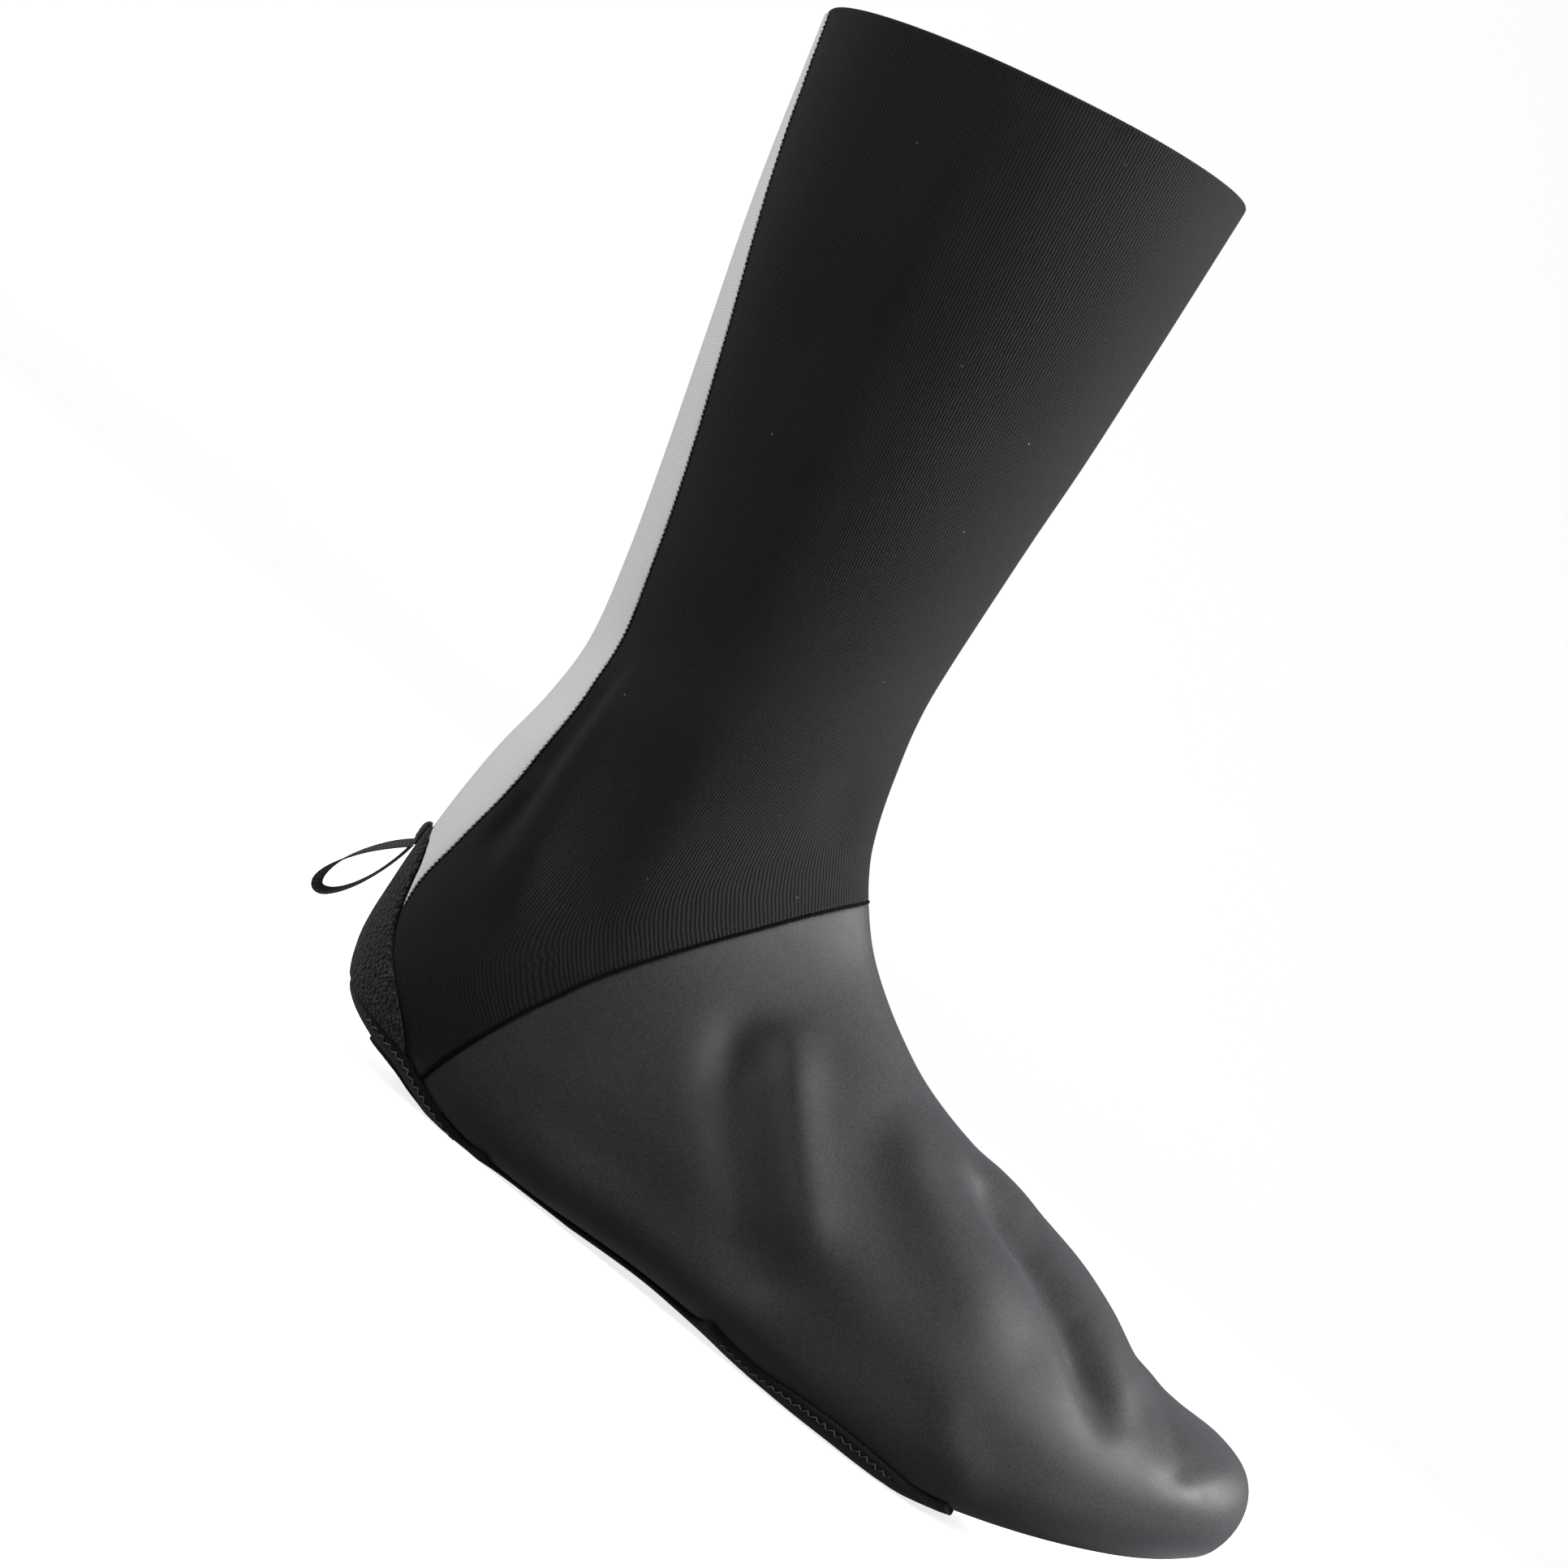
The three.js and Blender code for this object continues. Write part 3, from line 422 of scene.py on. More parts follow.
def opening_limit(station, point, side):
    """Whether points lie over the upper's opening, which laps inside the sole."""
    s = blended(np.asarray(station, float))
    share = float(line_at([(r[0], r[2 if side < 0 else 3]) for r in SOLE], np.array([station]))[0, 0])
    ends = min(smooth((station - LAP_FRONT) / LAP_FRONT_RUN), smooth((LAP_BACK - station) / LAP_BACK_RUN))
    half = (min(share, LAP_MOST_SHARE) * s["halfY"] - LAP_INSET) * math.sqrt(max(ends, 0))
    return side * (point[:, 1] - s["swing"]) < half


def sole_limit(station, point, side):
    """Whether points lie under the sole: below its edge's height and inside its outline."""
    wrap, outer, inner = line_at(SOLE, np.array([station]))[0]
    s = blended(np.asarray(station, float))
    lift = s["arch"] if side > 0 else 0.0
    edge = surface(station, 0.0)[2] + wrap * SOLE_WRAP + lift
    half = (outer if side < 0 else inner) * s["halfY"]
    return (point[:, 2] <= max(edge, FLOOR_OFFSET + 0.05)) & (side * (point[:, 1] - s["swing"]) < half)


def grids(station, turn, *offsets):
    """The creased surface over a grid of stations and turns, once for each offset."""
    base = surface(station, turn)
    out = normals(station, turn)
    moved = fold(base)
    made = []
    for offset in offsets:
        point = base + out * (offset + moved)[..., None]
        point[..., 2] = np.maximum(point[..., 2], FLOOR_OFFSET - offset)
        made.append(point)
    return made


def edge_distance(points, border):
    """Distance of each point of a grid to the nearest of the border's points."""
    flat = points.reshape(-1, 3)
    found = np.full(len(flat), 1e9)
    for chunk in range(0, len(border), 64):
        part = border[chunk:chunk + 64]
        gap = np.linalg.norm(flat[:, None] - part[None], axis=-1).min(axis=1)
        found = np.minimum(found, gap)
    return found.reshape(points.shape[:-1])


def rounded(distance, radius):
    """Share of its full thickness that a sheet has at that distance from its rounded edge."""
    t = np.clip(1 - distance / radius, 0, 1)
    return np.sqrt(np.maximum(1 - t * t, 0))


def spaced(first, last, count, ends=(), step=1.0):
    """Evenly spaced values, with finer ones at the named ends (0 first, 1 last)."""
    values = list(np.linspace(first, last, count))
    gap = step * (last - first) / (count - 1)
    for end in ends:
        edge, inward = (first, gap) if end == 0 else (last, -gap)
        values += [edge + inward * share for share in (0.12, 0.3, 0.6)]
    return np.array(sorted(set(values)))


# Materials

def shade(value):
    """A grey of the screen, 0 to 255, as a linear value."""
    share = value / 255
    return share / 12.92 if share <= 0.04045 else ((share + 0.055) / 1.055) ** 2.4


def grey(value, tint=(1.0, 1.0, 1.0)):
    return tuple(shade(value) * t for t in tint) + (1.0,)


COOL = (0.97, 0.98, 1.06)


class Look:
    """A node material in the making."""

    def __init__(self, name):
        self.material = bpy.data.materials.new(name)
        self.material.use_nodes = True
        self.tree = self.material.node_tree
        self.shader = self.tree.nodes["Principled BSDF"]
        self.cloth = self.add("Attribute", attribute_name="cloth").outputs["Vector"]
        metres = self.add("TexCoord").outputs["Object"]
        self.place = self.vector("MULTIPLY", metres, (1000.0, 1000.0, 1000.0))

    def add(self, kind, inputs=None, **settings):
        made = self.tree.nodes.new("ShaderNode" + kind)
        for key, value in settings.items():
            setattr(made, key, value)
        for key, value in (inputs or {}).items():
            self.put(made.inputs[key], value)
        return made

    def put(self, socket, value):
        if isinstance(value, bpy.types.NodeSocket):
            self.tree.links.new(value, socket)
        else:
            socket.default_value = value

    def set(self, **values):
        for key, value in values.items():
            self.put(self.shader.inputs[key.replace("_", " ")], value)

    def vector(self, operation, a, b):
        return self.add("VectorMath", {0: a, 1: b}, operation=operation).outputs[0]

    def math(self, operation, a, b=0.0, c=0.0):
        return self.add("Math", {0: a, 1: b, 2: c}, operation=operation).outputs[0]

    def axis(self, vector, index):
        return self.add("SeparateXYZ", {0: vector}).outputs[index]

    def noise(self, vector, scale, detail=2.0, rough=0.5):
        return self.add("TexNoise", {"Vector": vector, "Scale": scale, "Detail": detail,
                                     "Roughness": rough}).outputs[0]

    def cells(self, vector, scale):
        return self.add("TexVoronoi", {"Vector": vector, "Scale": scale}).outputs["Distance"]

    def ramp(self, value, low, high, out_low=0.0, out_high=1.0):
        return self.add("MapRange", {"Value": value, "From Min": low, "From Max": high, "To Min": out_low,
                                     "To Max": out_high}, clamp=True).outputs[0]

    def wave(self, value, pitch):
        """From -1 to 1 along value, once each pitch."""
        return self.math("SINE", self.math("MULTIPLY", value, 2 * math.pi / pitch))

    def color(self, share, low, high):
        """A colour between two, by a share."""
        made = self.add("Mix", data_type="RGBA")
        for socket, value in ((0, share), (6, low), (7, high)):
            self.put(made.inputs[socket], value)
        return made.outputs[2]

    def bump(self, height, depth, strength=1.0):
        """A bump whose depth is in millimetres."""
        made = self.add("Bump", {"Height": height, "Distance": depth / 1000, "Strength": strength})
        self.put(self.shader.inputs["Normal"], made.outputs[0])


def knit_look(name, low, high, pitch, sheen):
    """Fine ribbed knit; its ribs run along the cloth's y."""
    look = Look(name)
    x, y = look.axis(look.cloth, 0), look.axis(look.cloth, 1)
    wander = look.noise(look.cloth, 0.12, 2.0)
    rib = look.wave(look.math("MULTIPLY_ADD", wander, 0.8, x), pitch)
    course = look.wave(y, 0.8 * pitch)
    thread = look.math("MULTIPLY_ADD", course, 0.35, rib)
    fuzz = look.noise(look.place, 2.8, 3.0, 0.7)
    height = look.math("MULTIPLY_ADD", fuzz, 3.2, thread)
    broad = look.noise(look.place, 0.018, 3.0)
    fleck = look.math("MULTIPLY_ADD", fuzz, 2.6, look.math("MULTIPLY", thread, 0.4))
    tone = look.ramp(look.math("MULTIPLY_ADD", broad, 0.8, fleck), 1.1, 2.4)
    dots = look.add("TexVoronoi", {"Vector": look.place, "Scale": 0.11})
    near = look.ramp(dots.outputs["Distance"], 0.022, 0.034, 1.0, 0.0)
    some = look.math("GREATER_THAN", look.axis(dots.outputs["Color"], 0), 0.62)
    speck = look.math("MULTIPLY", near, some)
    cloth = look.color(tone, low, high)
    look.set(Base_Color=look.color(speck, cloth, grey(120)), Roughness=0.8, Specular_IOR_Level=0.18,
             Sheen_Weight=sheen, Sheen_Roughness=0.42, Sheen_Tint=(0.75, 0.78, 0.86, 1.0))
    look.bump(height, 0.16, 0.55)
    return look.material


def coated_look():
    """Satin coated fabric with a fine even speckle, rubbed a little smoother in patches."""
    look = Look("coated_fabric")
    speckle = look.noise(look.place, 1.9, 3.0, 0.75)
    broad = look.noise(look.place, 0.022, 4.0, 0.6)
    rub = look.noise(look.vector("MULTIPLY", look.place, (0.03, 0.1, 0.16)), 1.0, 5.0, 0.7)
    tone = look.ramp(look.math("MULTIPLY_ADD", speckle, 1.5, look.math("MULTIPLY", broad, 0.5)), 0.72, 1.3)
    look.set(Base_Color=look.color(tone, grey(31, COOL), grey(65, COOL)),
             Roughness=look.ramp(look.math("MULTIPLY_ADD", rub, 0.7, look.math("MULTIPLY", speckle, 0.3)),
                                 0.3, 0.72, 0.50, 0.64),
             Specular_IOR_Level=0.5, Sheen_Weight=0.12, Sheen_Roughness=0.5,
             Sheen_Tint=(0.8, 0.83, 0.9, 1.0))
    look.bump(speckle, 0.07, 0.6)
    return look.material


def pebbled_look():
    """Hard-wearing black fabric with a pebbled face. Painted shade darkens the hollows between the pebbles
    and painted light brightens their tops.
    """
    look = Look("abrasion_fabric")
    wobble = look.vector("ADD", look.place, look.vector("MULTIPLY", look.add(
        "TexNoise", {"Vector": look.place, "Scale": 1.3}).outputs["Color"], (0.5, 0.5, 0.5)))
    pebble = look.cells(wobble, 0.95)
    fine = look.noise(look.place, 3.0, 3.0)
    height = look.math("MULTIPLY_ADD", fine, 0.3, look.math("SUBTRACT", 1.0, pebble))
    # painted shade and light: the colour follows the pebbles' height, near black in the hollows and mid
    # grey on the tops, with a little random tone on top
    tone = look.ramp(look.math("MULTIPLY_ADD", look.noise(look.place, 0.05, 3.0), 0.4, height), 0.78, 1.4)
    look.set(Base_Color=look.color(tone, grey(4), grey(90)), Roughness=0.62, Specular_IOR_Level=0.35,
             Sheen_Weight=0.12, Sheen_Roughness=0.5)
    look.bump(height, 1.5, 1.0)
    return look.material


def reflective_look():
    """Pale grey print on knit, dotted where it thins out at its edges."""
    look = Look("reflective_print")
    x, y, edge = (look.axis(look.cloth, k) for k in range(3))
    dot = look.math("MULTIPLY", look.wave(x, 1.4), look.wave(y, 1.4))
    across = look.math("MULTIPLY", look.wave(y, 0.55), 0.4)
    weave = look.math("MULTIPLY_ADD", look.wave(x, 0.7), 0.5, across)
    grit = look.noise(look.cloth, 2.4, 3.0, 0.7)
    worn = look.math("MULTIPLY_ADD", grit, 0.5, look.math("MULTIPLY", dot, 0.5))
    printed = look.ramp(look.math("ADD", worn, look.math("MULTIPLY", edge, 1.1)), 0.25, 0.45)
    holes = look.math("MULTIPLY_ADD", dot, 0.45, look.math("MULTIPLY", grit, 0.5))
    tone = look.ramp(look.math("MULTIPLY_ADD", weave, 0.15, holes), -0.15, 0.5)
    paint = look.color(tone, grey(232), grey(252))
    look.set(Base_Color=look.color(printed, grey(34, COOL), paint), Roughness=0.5, Specular_IOR_Level=0.4)
    look.bump(look.math("MULTIPLY_ADD", grit, 0.8, weave), 0.12, 0.5)
    return look.material


def tape_look():
    """Woven tape with ribs across its width."""
    look = Look("webbing")
    x, y = look.axis(look.cloth, 0), look.axis(look.cloth, 1)
    rib = look.math("MULTIPLY_ADD", look.wave(x, 0.7), 0.25, look.wave(y, 1.05))
    tone = look.ramp(look.math("MULTIPLY_ADD", look.noise(look.place, 1.2, 3.0), 1.2, rib), -0.6, 1.8)
    look.set(Base_Color=look.color(tone, grey(18), grey(74, COOL)), Roughness=0.6, Specular_IOR_Level=0.35,
             Sheen_Weight=0.2)
    look.bump(rib, 0.18, 0.8)
    return look.material


def fleece_look(name, low, high, sheen=0.3):
    """Brushed lining, or fuzzy thread."""
    look = Look(name)
    nap = look.noise(look.place, 0.9, 6.0, 0.75)
    tone = look.ramp(look.math("MULTIPLY_ADD", look.noise(look.place, 0.05, 3.0), 0.5, nap), 0.45, 1.05)
    look.set(Base_Color=look.color(tone, low, high), Roughness=0.95, Specular_IOR_Level=0.1,
             Sheen_Weight=sheen, Sheen_Roughness=0.6)
    look.bump(nap, 0.5, 0.7)
    return look.material


KNIT = knit_look("knit_fabric", grey(11, COOL), grey(40, COOL), 0.8, 0.24)
COATED = coated_look()
SOLE_KNIT = knit_look("sole_knit", grey(17), grey(46), 0.9, 0.2)
PEBBLED = pebbled_look()
REFLECTIVE = reflective_look()
TAPE = tape_look()
BINDING = fleece_look("binding", grey(44), grey(84, COOL))
THREAD = fleece_look("thread", grey(66, COOL), grey(124, COOL))
SEAM_THREAD = fleece_look("seam_thread", grey(4), grey(20), 0.0)
LINING = fleece_look("lining", grey(26), grey(56, COOL))


# Foot panel and shaft

EDGE_DIP = 0.45  # how far a panel's edge rolls inward
EDGE_RADIUS = 1.0
GUIDE_TURN = 0.05  # turn at which a row's station is read for the ends of its opening


def upper(name, node, station_of, last, rows, columns, wall, look, widest, tip=False):
    """One panel of the upper. station_of gives the station at a place on the way to last and a turn,
    and the cloth's threads are even at the station widest."""
    shares = spaced(0.0, last, rows, (0, 1))
    across = np.linspace(0, 1, columns)
    guide = station_of(shares, np.full(len(shares), GUIDE_TURN))
    low_out = low_turn(guide, -1, opening_limit)
    low_in = low_turn(guide, 1, opening_limit)
    turn = across[None] + low_out[:, None] * (1 - across) ** 6 - low_in[:, None] * across**6
    station = station_of(shares[:, None], turn)
    run = run_along(surface(station, turn))
    edge = run[-1:] - run if tip else np.minimum(run, run[-1:] - run)
    outer, inner = grids(station, turn, -EDGE_DIP * (1 - rounded(edge, EDGE_RADIUS)), -wall)
    around = np.linspace(0, 1, 401)
    arc = np.linalg.norm(np.diff(surface(widest, around), axis=0), axis=-1)
    x = np.interp(turn, around, np.concatenate([[0], np.cumsum(arc)]) - arc.sum() / 2)
    cloth = np.stack([x, run_along(outer), np.zeros(x.shape)], -1)
    joined = (low_out == 0) & (low_in == 0)
    points, faces, kinds, cloth = sheet_mesh(outer, inner, cloth, joined, tip)
    return make_object(name, points, faces, cloth, [look, LINING], [node], kinds)


SEAM_GAP = 0.012  # stations that each panel stays short of the seam
SEAM_TOP = 15.11  # the seam's highest station
BEND_FROM = 11.5  # the foot panel's rows start to follow the seam here


def foot_station(share, turn):
    """Straight sections from the toe, which turn into the seam's line."""
    share, turn = np.broadcast_arrays(share, turn)
    bend = np.clip((share - BEND_FROM) / (SEAM_TOP - BEND_FROM), 0, 1)
    return share + bend * (seam_station(turn) - SEAM_GAP - SEAM_TOP)


def shaft_station(share, turn):
    share, turn = np.broadcast_arrays(share, turn)
    start = seam_station(turn) + SEAM_GAP
    return start + share * (COLLAR - start)


upper("foot_panel", "vamp", foot_station, SEAM_TOP, 190, 170, FOOT_WALL, COATED, 8.0,
      tip=True)
upper("shaft_panel", "shaft", shaft_station, 1.0, 180, 150, SHAFT_WALL, KNIT, 24.0)


# Sole

SOLE_EDGE = 0.4  # thickness at the sole's edge
SOLE_ROUND = 3.2  # distance over which it reaches its full thickness


def sole_panel():
    stations = spaced(SOLE[0][0] + 0.01, SOLE[-1][0] - 0.02, 210, (0, 1))
    out, inward = (low_turn(stations, side, sole_limit) for side in (-1, 1))
    share = spaced(0, 1, 71, (0, 1))
    turn = -inward[:, None] + share[None] * (out + inward)[:, None]
    station = np.broadcast_to(stations[:, None], turn.shape)
    base, = grids(station, turn, SEAT_GAP)
    border = np.concatenate([base[0], base[-1], base[:, 0], base[:, -1]])
    full = rounded(edge_distance(base, border), SOLE_ROUND)
    thick = SOLE_EDGE + (SOLE_THICKNESS - SOLE_EDGE) * full
    outer, inner = grids(station, turn, SEAT_GAP + thick, SEAT_GAP)
    cloth = cloth_coordinates(outer, len(share) // 2)
    points, faces, kinds, cloth = sheet_mesh(outer, inner, cloth)
    piece = make_object("sole_panel", points, faces, cloth, [SOLE_KNIT, LINING], ["sole"],
                        kinds)
    return piece, outer.reshape(-1, 3)


def port_outline(port, grow):
    """A rounded rectangle seen from above, lengthwise along X."""
    place_x, length, width = port
    radius = PORT_CORNER + grow
    points = []
    for quarter, (sx, sy) in enumerate(((1, 1), (-1, 1), (-1, -1), (1, -1))):
        for i in range(9):
            angle = (math.pi / 2) * (quarter + i / 8)
            points.append((place_x + sx * (length / 2 - PORT_CORNER) + radius * math.cos(angle),
                           sy * (width / 2 - PORT_CORNER) + radius * math.sin(angle)))
    return np.array(points)


def cut_through(piece, outline, low, high):
    """Takes an upright prism out of the piece."""
    n = len(outline)
    points = [(x, y, low) for x, y in outline] + [(x, y, high) for x, y in outline]
    faces = [tuple(range(n - 1, -1, -1)), tuple(range(n, 2 * n))]
    faces += [(i, (i + 1) % n, n + (i + 1) % n, n + i) for i in range(n)]
    mesh = bpy.data.meshes.new("cutter")
    mesh.from_pydata([tuple(p) for p in place(points)], [], faces)
    cutter = in_scene("cutter", mesh)
    change = piece.modifiers.new("cut", "BOOLEAN")
    change.operation = "DIFFERENCE"
    change.solver = "EXACT"
    change.object = cutter
    bpy.context.view_layer.update()
    graph = bpy.context.evaluated_depsgraph_get()
    made = bpy.data.meshes.new_from_object(piece.evaluated_get(graph), depsgraph=graph)
    old = piece.data
    piece.modifiers.clear()
    piece.data = made
    bpy.data.objects.remove(cutter)
    bpy.data.meshes.remove(mesh)
    bpy.data.meshes.remove(old)
    made.name = piece.name


def ring(name, line, profile):
    """A band swept along a closed level line. profile gives (outward, up) in millimetres."""
    n = len(line)
    m = len(profile)
    ahead = np.roll(line, -1, axis=0) - np.roll(line, 1, axis=0)
    out = unit(np.stack([ahead[:, 1], -ahead[:, 0], np.zeros(n)], -1))
    points = np.concatenate([line + out * a + np.array([0, 0, b]) for a, b in profile])
    faces = [(k * n + i, k * n + (i + 1) % n, ((k + 1) % m) * n + (i + 1) % n, ((k + 1) % m) * n + i)
             for k in range(m) for i in range(n)]
    length = run_along(line)
    cloth = np.concatenate([np.stack([np.full(n, a), length, np.zeros(n)], -1) for a, _ in profile])
    make_object(name, points, faces, cloth, [SOLE_KNIT])


def resampled(line, step, closed=False):
    """The same line with points an even step apart."""
    line = np.asarray(line, float)
    if closed:
        line = np.concatenate([line, line[:1]])
    length = run_along(line)
    count = max(int(round(length[-1] / step)), 3)
    at = np.linspace(0, length[-1], count + 1)
    made = np.stack([np.interp(at, length, line[:, k]) for k in range(line.shape[1])], -1)
    return made[:-1] if closed else made


def tube(name, path, radius, look, sides, squash, out):
    """A round or flattened thread along a path, closed at its ends. out points off the cloth."""
    ahead = unit(np.gradient(path, axis=0))
    out = unit(out - (out * ahead).sum(1, keepdims=True) * ahead)
    aside = np.cross(ahead, out)
    n = len(path)
    angles = np.arange(sides) * 2 * math.pi / sides
    points = [path + radius * (math.cos(a) * squash * out + math.sin(a) * aside) for a in angles]
    points = np.stack(points, 1).reshape(-1, 3)
    cloth = np.stack([np.tile(angles, n), np.repeat(run_along(path), sides), np.zeros(n * sides)], -1)
    make_object(name, points, tube_faces(n, sides), cloth, [look])


sole, SOLE_POINTS = sole_panel()


def under_height(points):
    """Height of the sole's lower face at points given by x and y."""
    found = []
    for x, y in points:
        near = np.hypot(SOLE_POINTS[:, 0] - x, SOLE_POINTS[:, 1] - y)
        pick = np.argsort(near)[:6]
        weight = 1 / (near[pick] + 0.1) ** 2
        found.append((SOLE_POINTS[pick, 2] * weight).sum() / weight.sum())
    return np.array(found)


# Outline of the binding round an opening, from its edge outward and from the sole's face upward
BINDING_PROFILE = [(0.0, 0.5), (0.35, 0.12), (1.0, 0.02), (2.4, 0.02), (2.9, 0.2), (3.0, 0.9), (3.0, 2.4),
                   (2.0, 2.9), (0.9, 2.8), (0.2, 2.3), (0.0, 1.5)]
CUT_MARGIN = 0.4  # the hole is this much wider than the binding's edge, which hides it
CUT_HEIGHTS = (-5, 14)

for port_name, port in zip(("cleat", "heel"), PORTS):
    cut_through(sole, port_outline(port, CUT_MARGIN), *CUT_HEIGHTS)
    level = resampled(port_outline(port, 0.0), 1.2, True)
    line = np.column_stack([level, under_height(level)])
    ring(port_name + "_opening_rim", line, BINDING_PROFILE)


# Heel patch and back stripe

UNDER_MARGIN = 0.25  # how far the patch's lower edge stays above the sole's edge
OVER_STATIONS = 0.03  # how far the stripe stays off the patch, in stations and in turns
OVER_TURNS = 0.0035
SHEET_EDGE = 0.08  # thickness at a sheet's edge
STRIPE_SINK = 0.15


def reach_down(share, border, top, bottom, blocked):
    """The station at which a column of the sheet ends, going down from its top."""
    stations = np.linspace(top, bottom, 700)
    stop = blocked(stations, share * edge_turn(border, stations))
    return stations[np.argmax(stop)] if stop.any() else bottom


def under_sole(stations, turns):
    """Whether places on the form lie on the sole, or closer to its edge than the margin."""
    found = np.zeros(len(stations), bool)
    for i, (station, turn) in enumerate(zip(stations, turns)):
        if station < SOLE[-1][0]:
            side = -1 if turn >= 0 else 1
            point = surface(station, turn)[None] - np.array([0, 0, UNDER_MARGIN])
            found[i] = sole_limit(station, point, side)[0]
    return found


def over_patch(stations, turns):
    return ((stations < PATCH[0][0] + OVER_STATIONS)
            & (np.abs(turns) < edge_turn(PATCH, stations) + OVER_TURNS))


def flat_piece(name, node, look, border, blocked, rows, columns, low, high, radius):
    """A sheet on the back of the form, from its top down to whatever it meets."""
    bottom, *_, top = sorted(station for station, _ in border)
    across = spaced(-1, 1, columns, (0, 1))
    ends = np.array([reach_down(v, border, top, bottom, blocked) for v in across])
    down = spaced(0, 1, rows, (0, 1))
    station = top + down[:, None] * (ends - top)[None]
    turn = across[None] * edge_turn(border, station)
    inner, = grids(station, turn, low)
    edges = [resampled(edge, 0.5) for edge in (inner[0], inner[-1], inner[:, 0], inner[:, -1])]
    far = edge_distance(inner, np.concatenate(edges))
    outer, = grids(station, turn, low + SHEET_EDGE + (high - low - SHEET_EDGE) * rounded(far, radius))
    cloth = cloth_coordinates(outer, columns // 2)
    cloth[..., 2] = far
    points, faces, _, cloth = sheet_mesh(inner, outer, cloth)
    make_object(name, points, faces, cloth, [look], [node])


flat_piece("heel_cover", "heel_patch", PEBBLED, PATCH, under_sole, 110, 90,
           SEAT_GAP, SEAT_GAP + PATCH_THICKNESS, 0.8)
flat_piece("stripe_print", "back_stripe", REFLECTIVE, STRIPE, over_patch, 200, 60,
           SEAT_GAP - STRIPE_SINK, SEAT_GAP + STRIPE_THICKNESS, 0.5)


# Pull loop

LOOP_LENGTH = 29.0  # from root to tip
LOOP_HEIGHT = 7.6
LOOP_DROOP = 62.0  # degrees
LOOP_ROOT_ANGLE = 0.2  # radians of its line left open at the root
LOOP_SWELL = 0.8
LOOP_WIDEST_ANGLE = 1.8
LOOP_STATION = 18.56  # where its end is sewn on
TAPE_WIDTH = 8.0
TAPE_THICKNESS = 0.5
TAPE_SIDES = 16
# Twist of the tape in degrees at shares of its length
TAPE_TILTS = [(0, -7), (0.3, -7), (0.42, -11), (0.5, -17), (0.58, -9), (0.66, 0), (0.78, 8), (0.9, 14),
              (1, 16)]
TAB_LENGTH = 7.5
TAB_THICKNESS = 1.3
TAB_WIDTH = 9.4
TAB_LIFT = 1.2


def loop_frame():
    """The place of the loop's root and the directions out of the heel and up along it."""
    seat = SEAT_GAP + PATCH_THICKNESS + SEAT_GAP
    out = normals(LOOP_STATION, 0.0)
    base = surface(LOOP_STATION, 0.0)
    return base + out * (seat + fold(base)), out, np.array([out[2], 0, -out[0]])


def pull_loop():
    """The tape, bent into a flat loop that droops from its root."""
    base, out, up = loop_frame()
    root = base + out * TAB_THICKNESS / 3 - up * TAB_LENGTH / 3
    angle = np.linspace(LOOP_ROOT_ANGLE, 2 * math.pi - LOOP_ROOT_ANGLE, 90)
    bulge = np.sin(angle) * np.sin(angle / 2) ** LOOP_SWELL
    widest = math.sin(LOOP_WIDEST_ANGLE) * math.sin(LOOP_WIDEST_ANGLE / 2) ** LOOP_SWELL
    line = np.stack([LOOP_LENGTH / 2 * (1 - np.cos(angle)), LOOP_HEIGHT / 2 / widest * bulge], -1)
    line = resampled(line, 0.5)
    ahead = unit(np.gradient(line, axis=0))
    side = np.stack([-ahead[:, 1], ahead[:, 0]], -1)
    length = run_along(line)
    tilt = np.radians(line_at(TAPE_TILTS, length / length[-1])[..., 0])
    ring_points = []
    ring_cloth = []
    half = TAPE_WIDTH / 2
    thick = TAPE_THICKNESS / 2
    for k in range(TAPE_SIDES):
        a = 2 * math.pi * k / TAPE_SIDES
        across = half * np.sign(math.cos(a)) * abs(math.cos(a)) ** 0.35
        off = thick * np.sign(math.sin(a)) * abs(math.sin(a)) ** 0.6
        aside = off * np.cos(tilt) + across * np.sin(tilt)
        ring_points.append(np.column_stack([line[:, 0] + side[:, 0] * aside,
                                            across * np.cos(tilt) - off * np.sin(tilt),
                                            line[:, 1] + side[:, 1] * aside]))
        ring_cloth.append(np.column_stack([np.full(len(line), across), length, np.zeros(len(line))]))
    points = np.stack(ring_points, 1)
    turn = math.radians(180 - LOOP_DROOP)
    x, y, z = points[..., 0], points[..., 1], points[..., 2]
    x, z = x * math.cos(turn) + z * math.sin(turn), -x * math.sin(turn) + z * math.cos(turn)
    points = np.stack([x, y, z], -1).reshape(-1, 3) + root
    cloth = np.stack(ring_cloth, 1).reshape(-1, 3)
    make_object("loop_tape", points, tube_faces(len(line), TAPE_SIDES), cloth, [TAPE],
                ["pull_loop"])


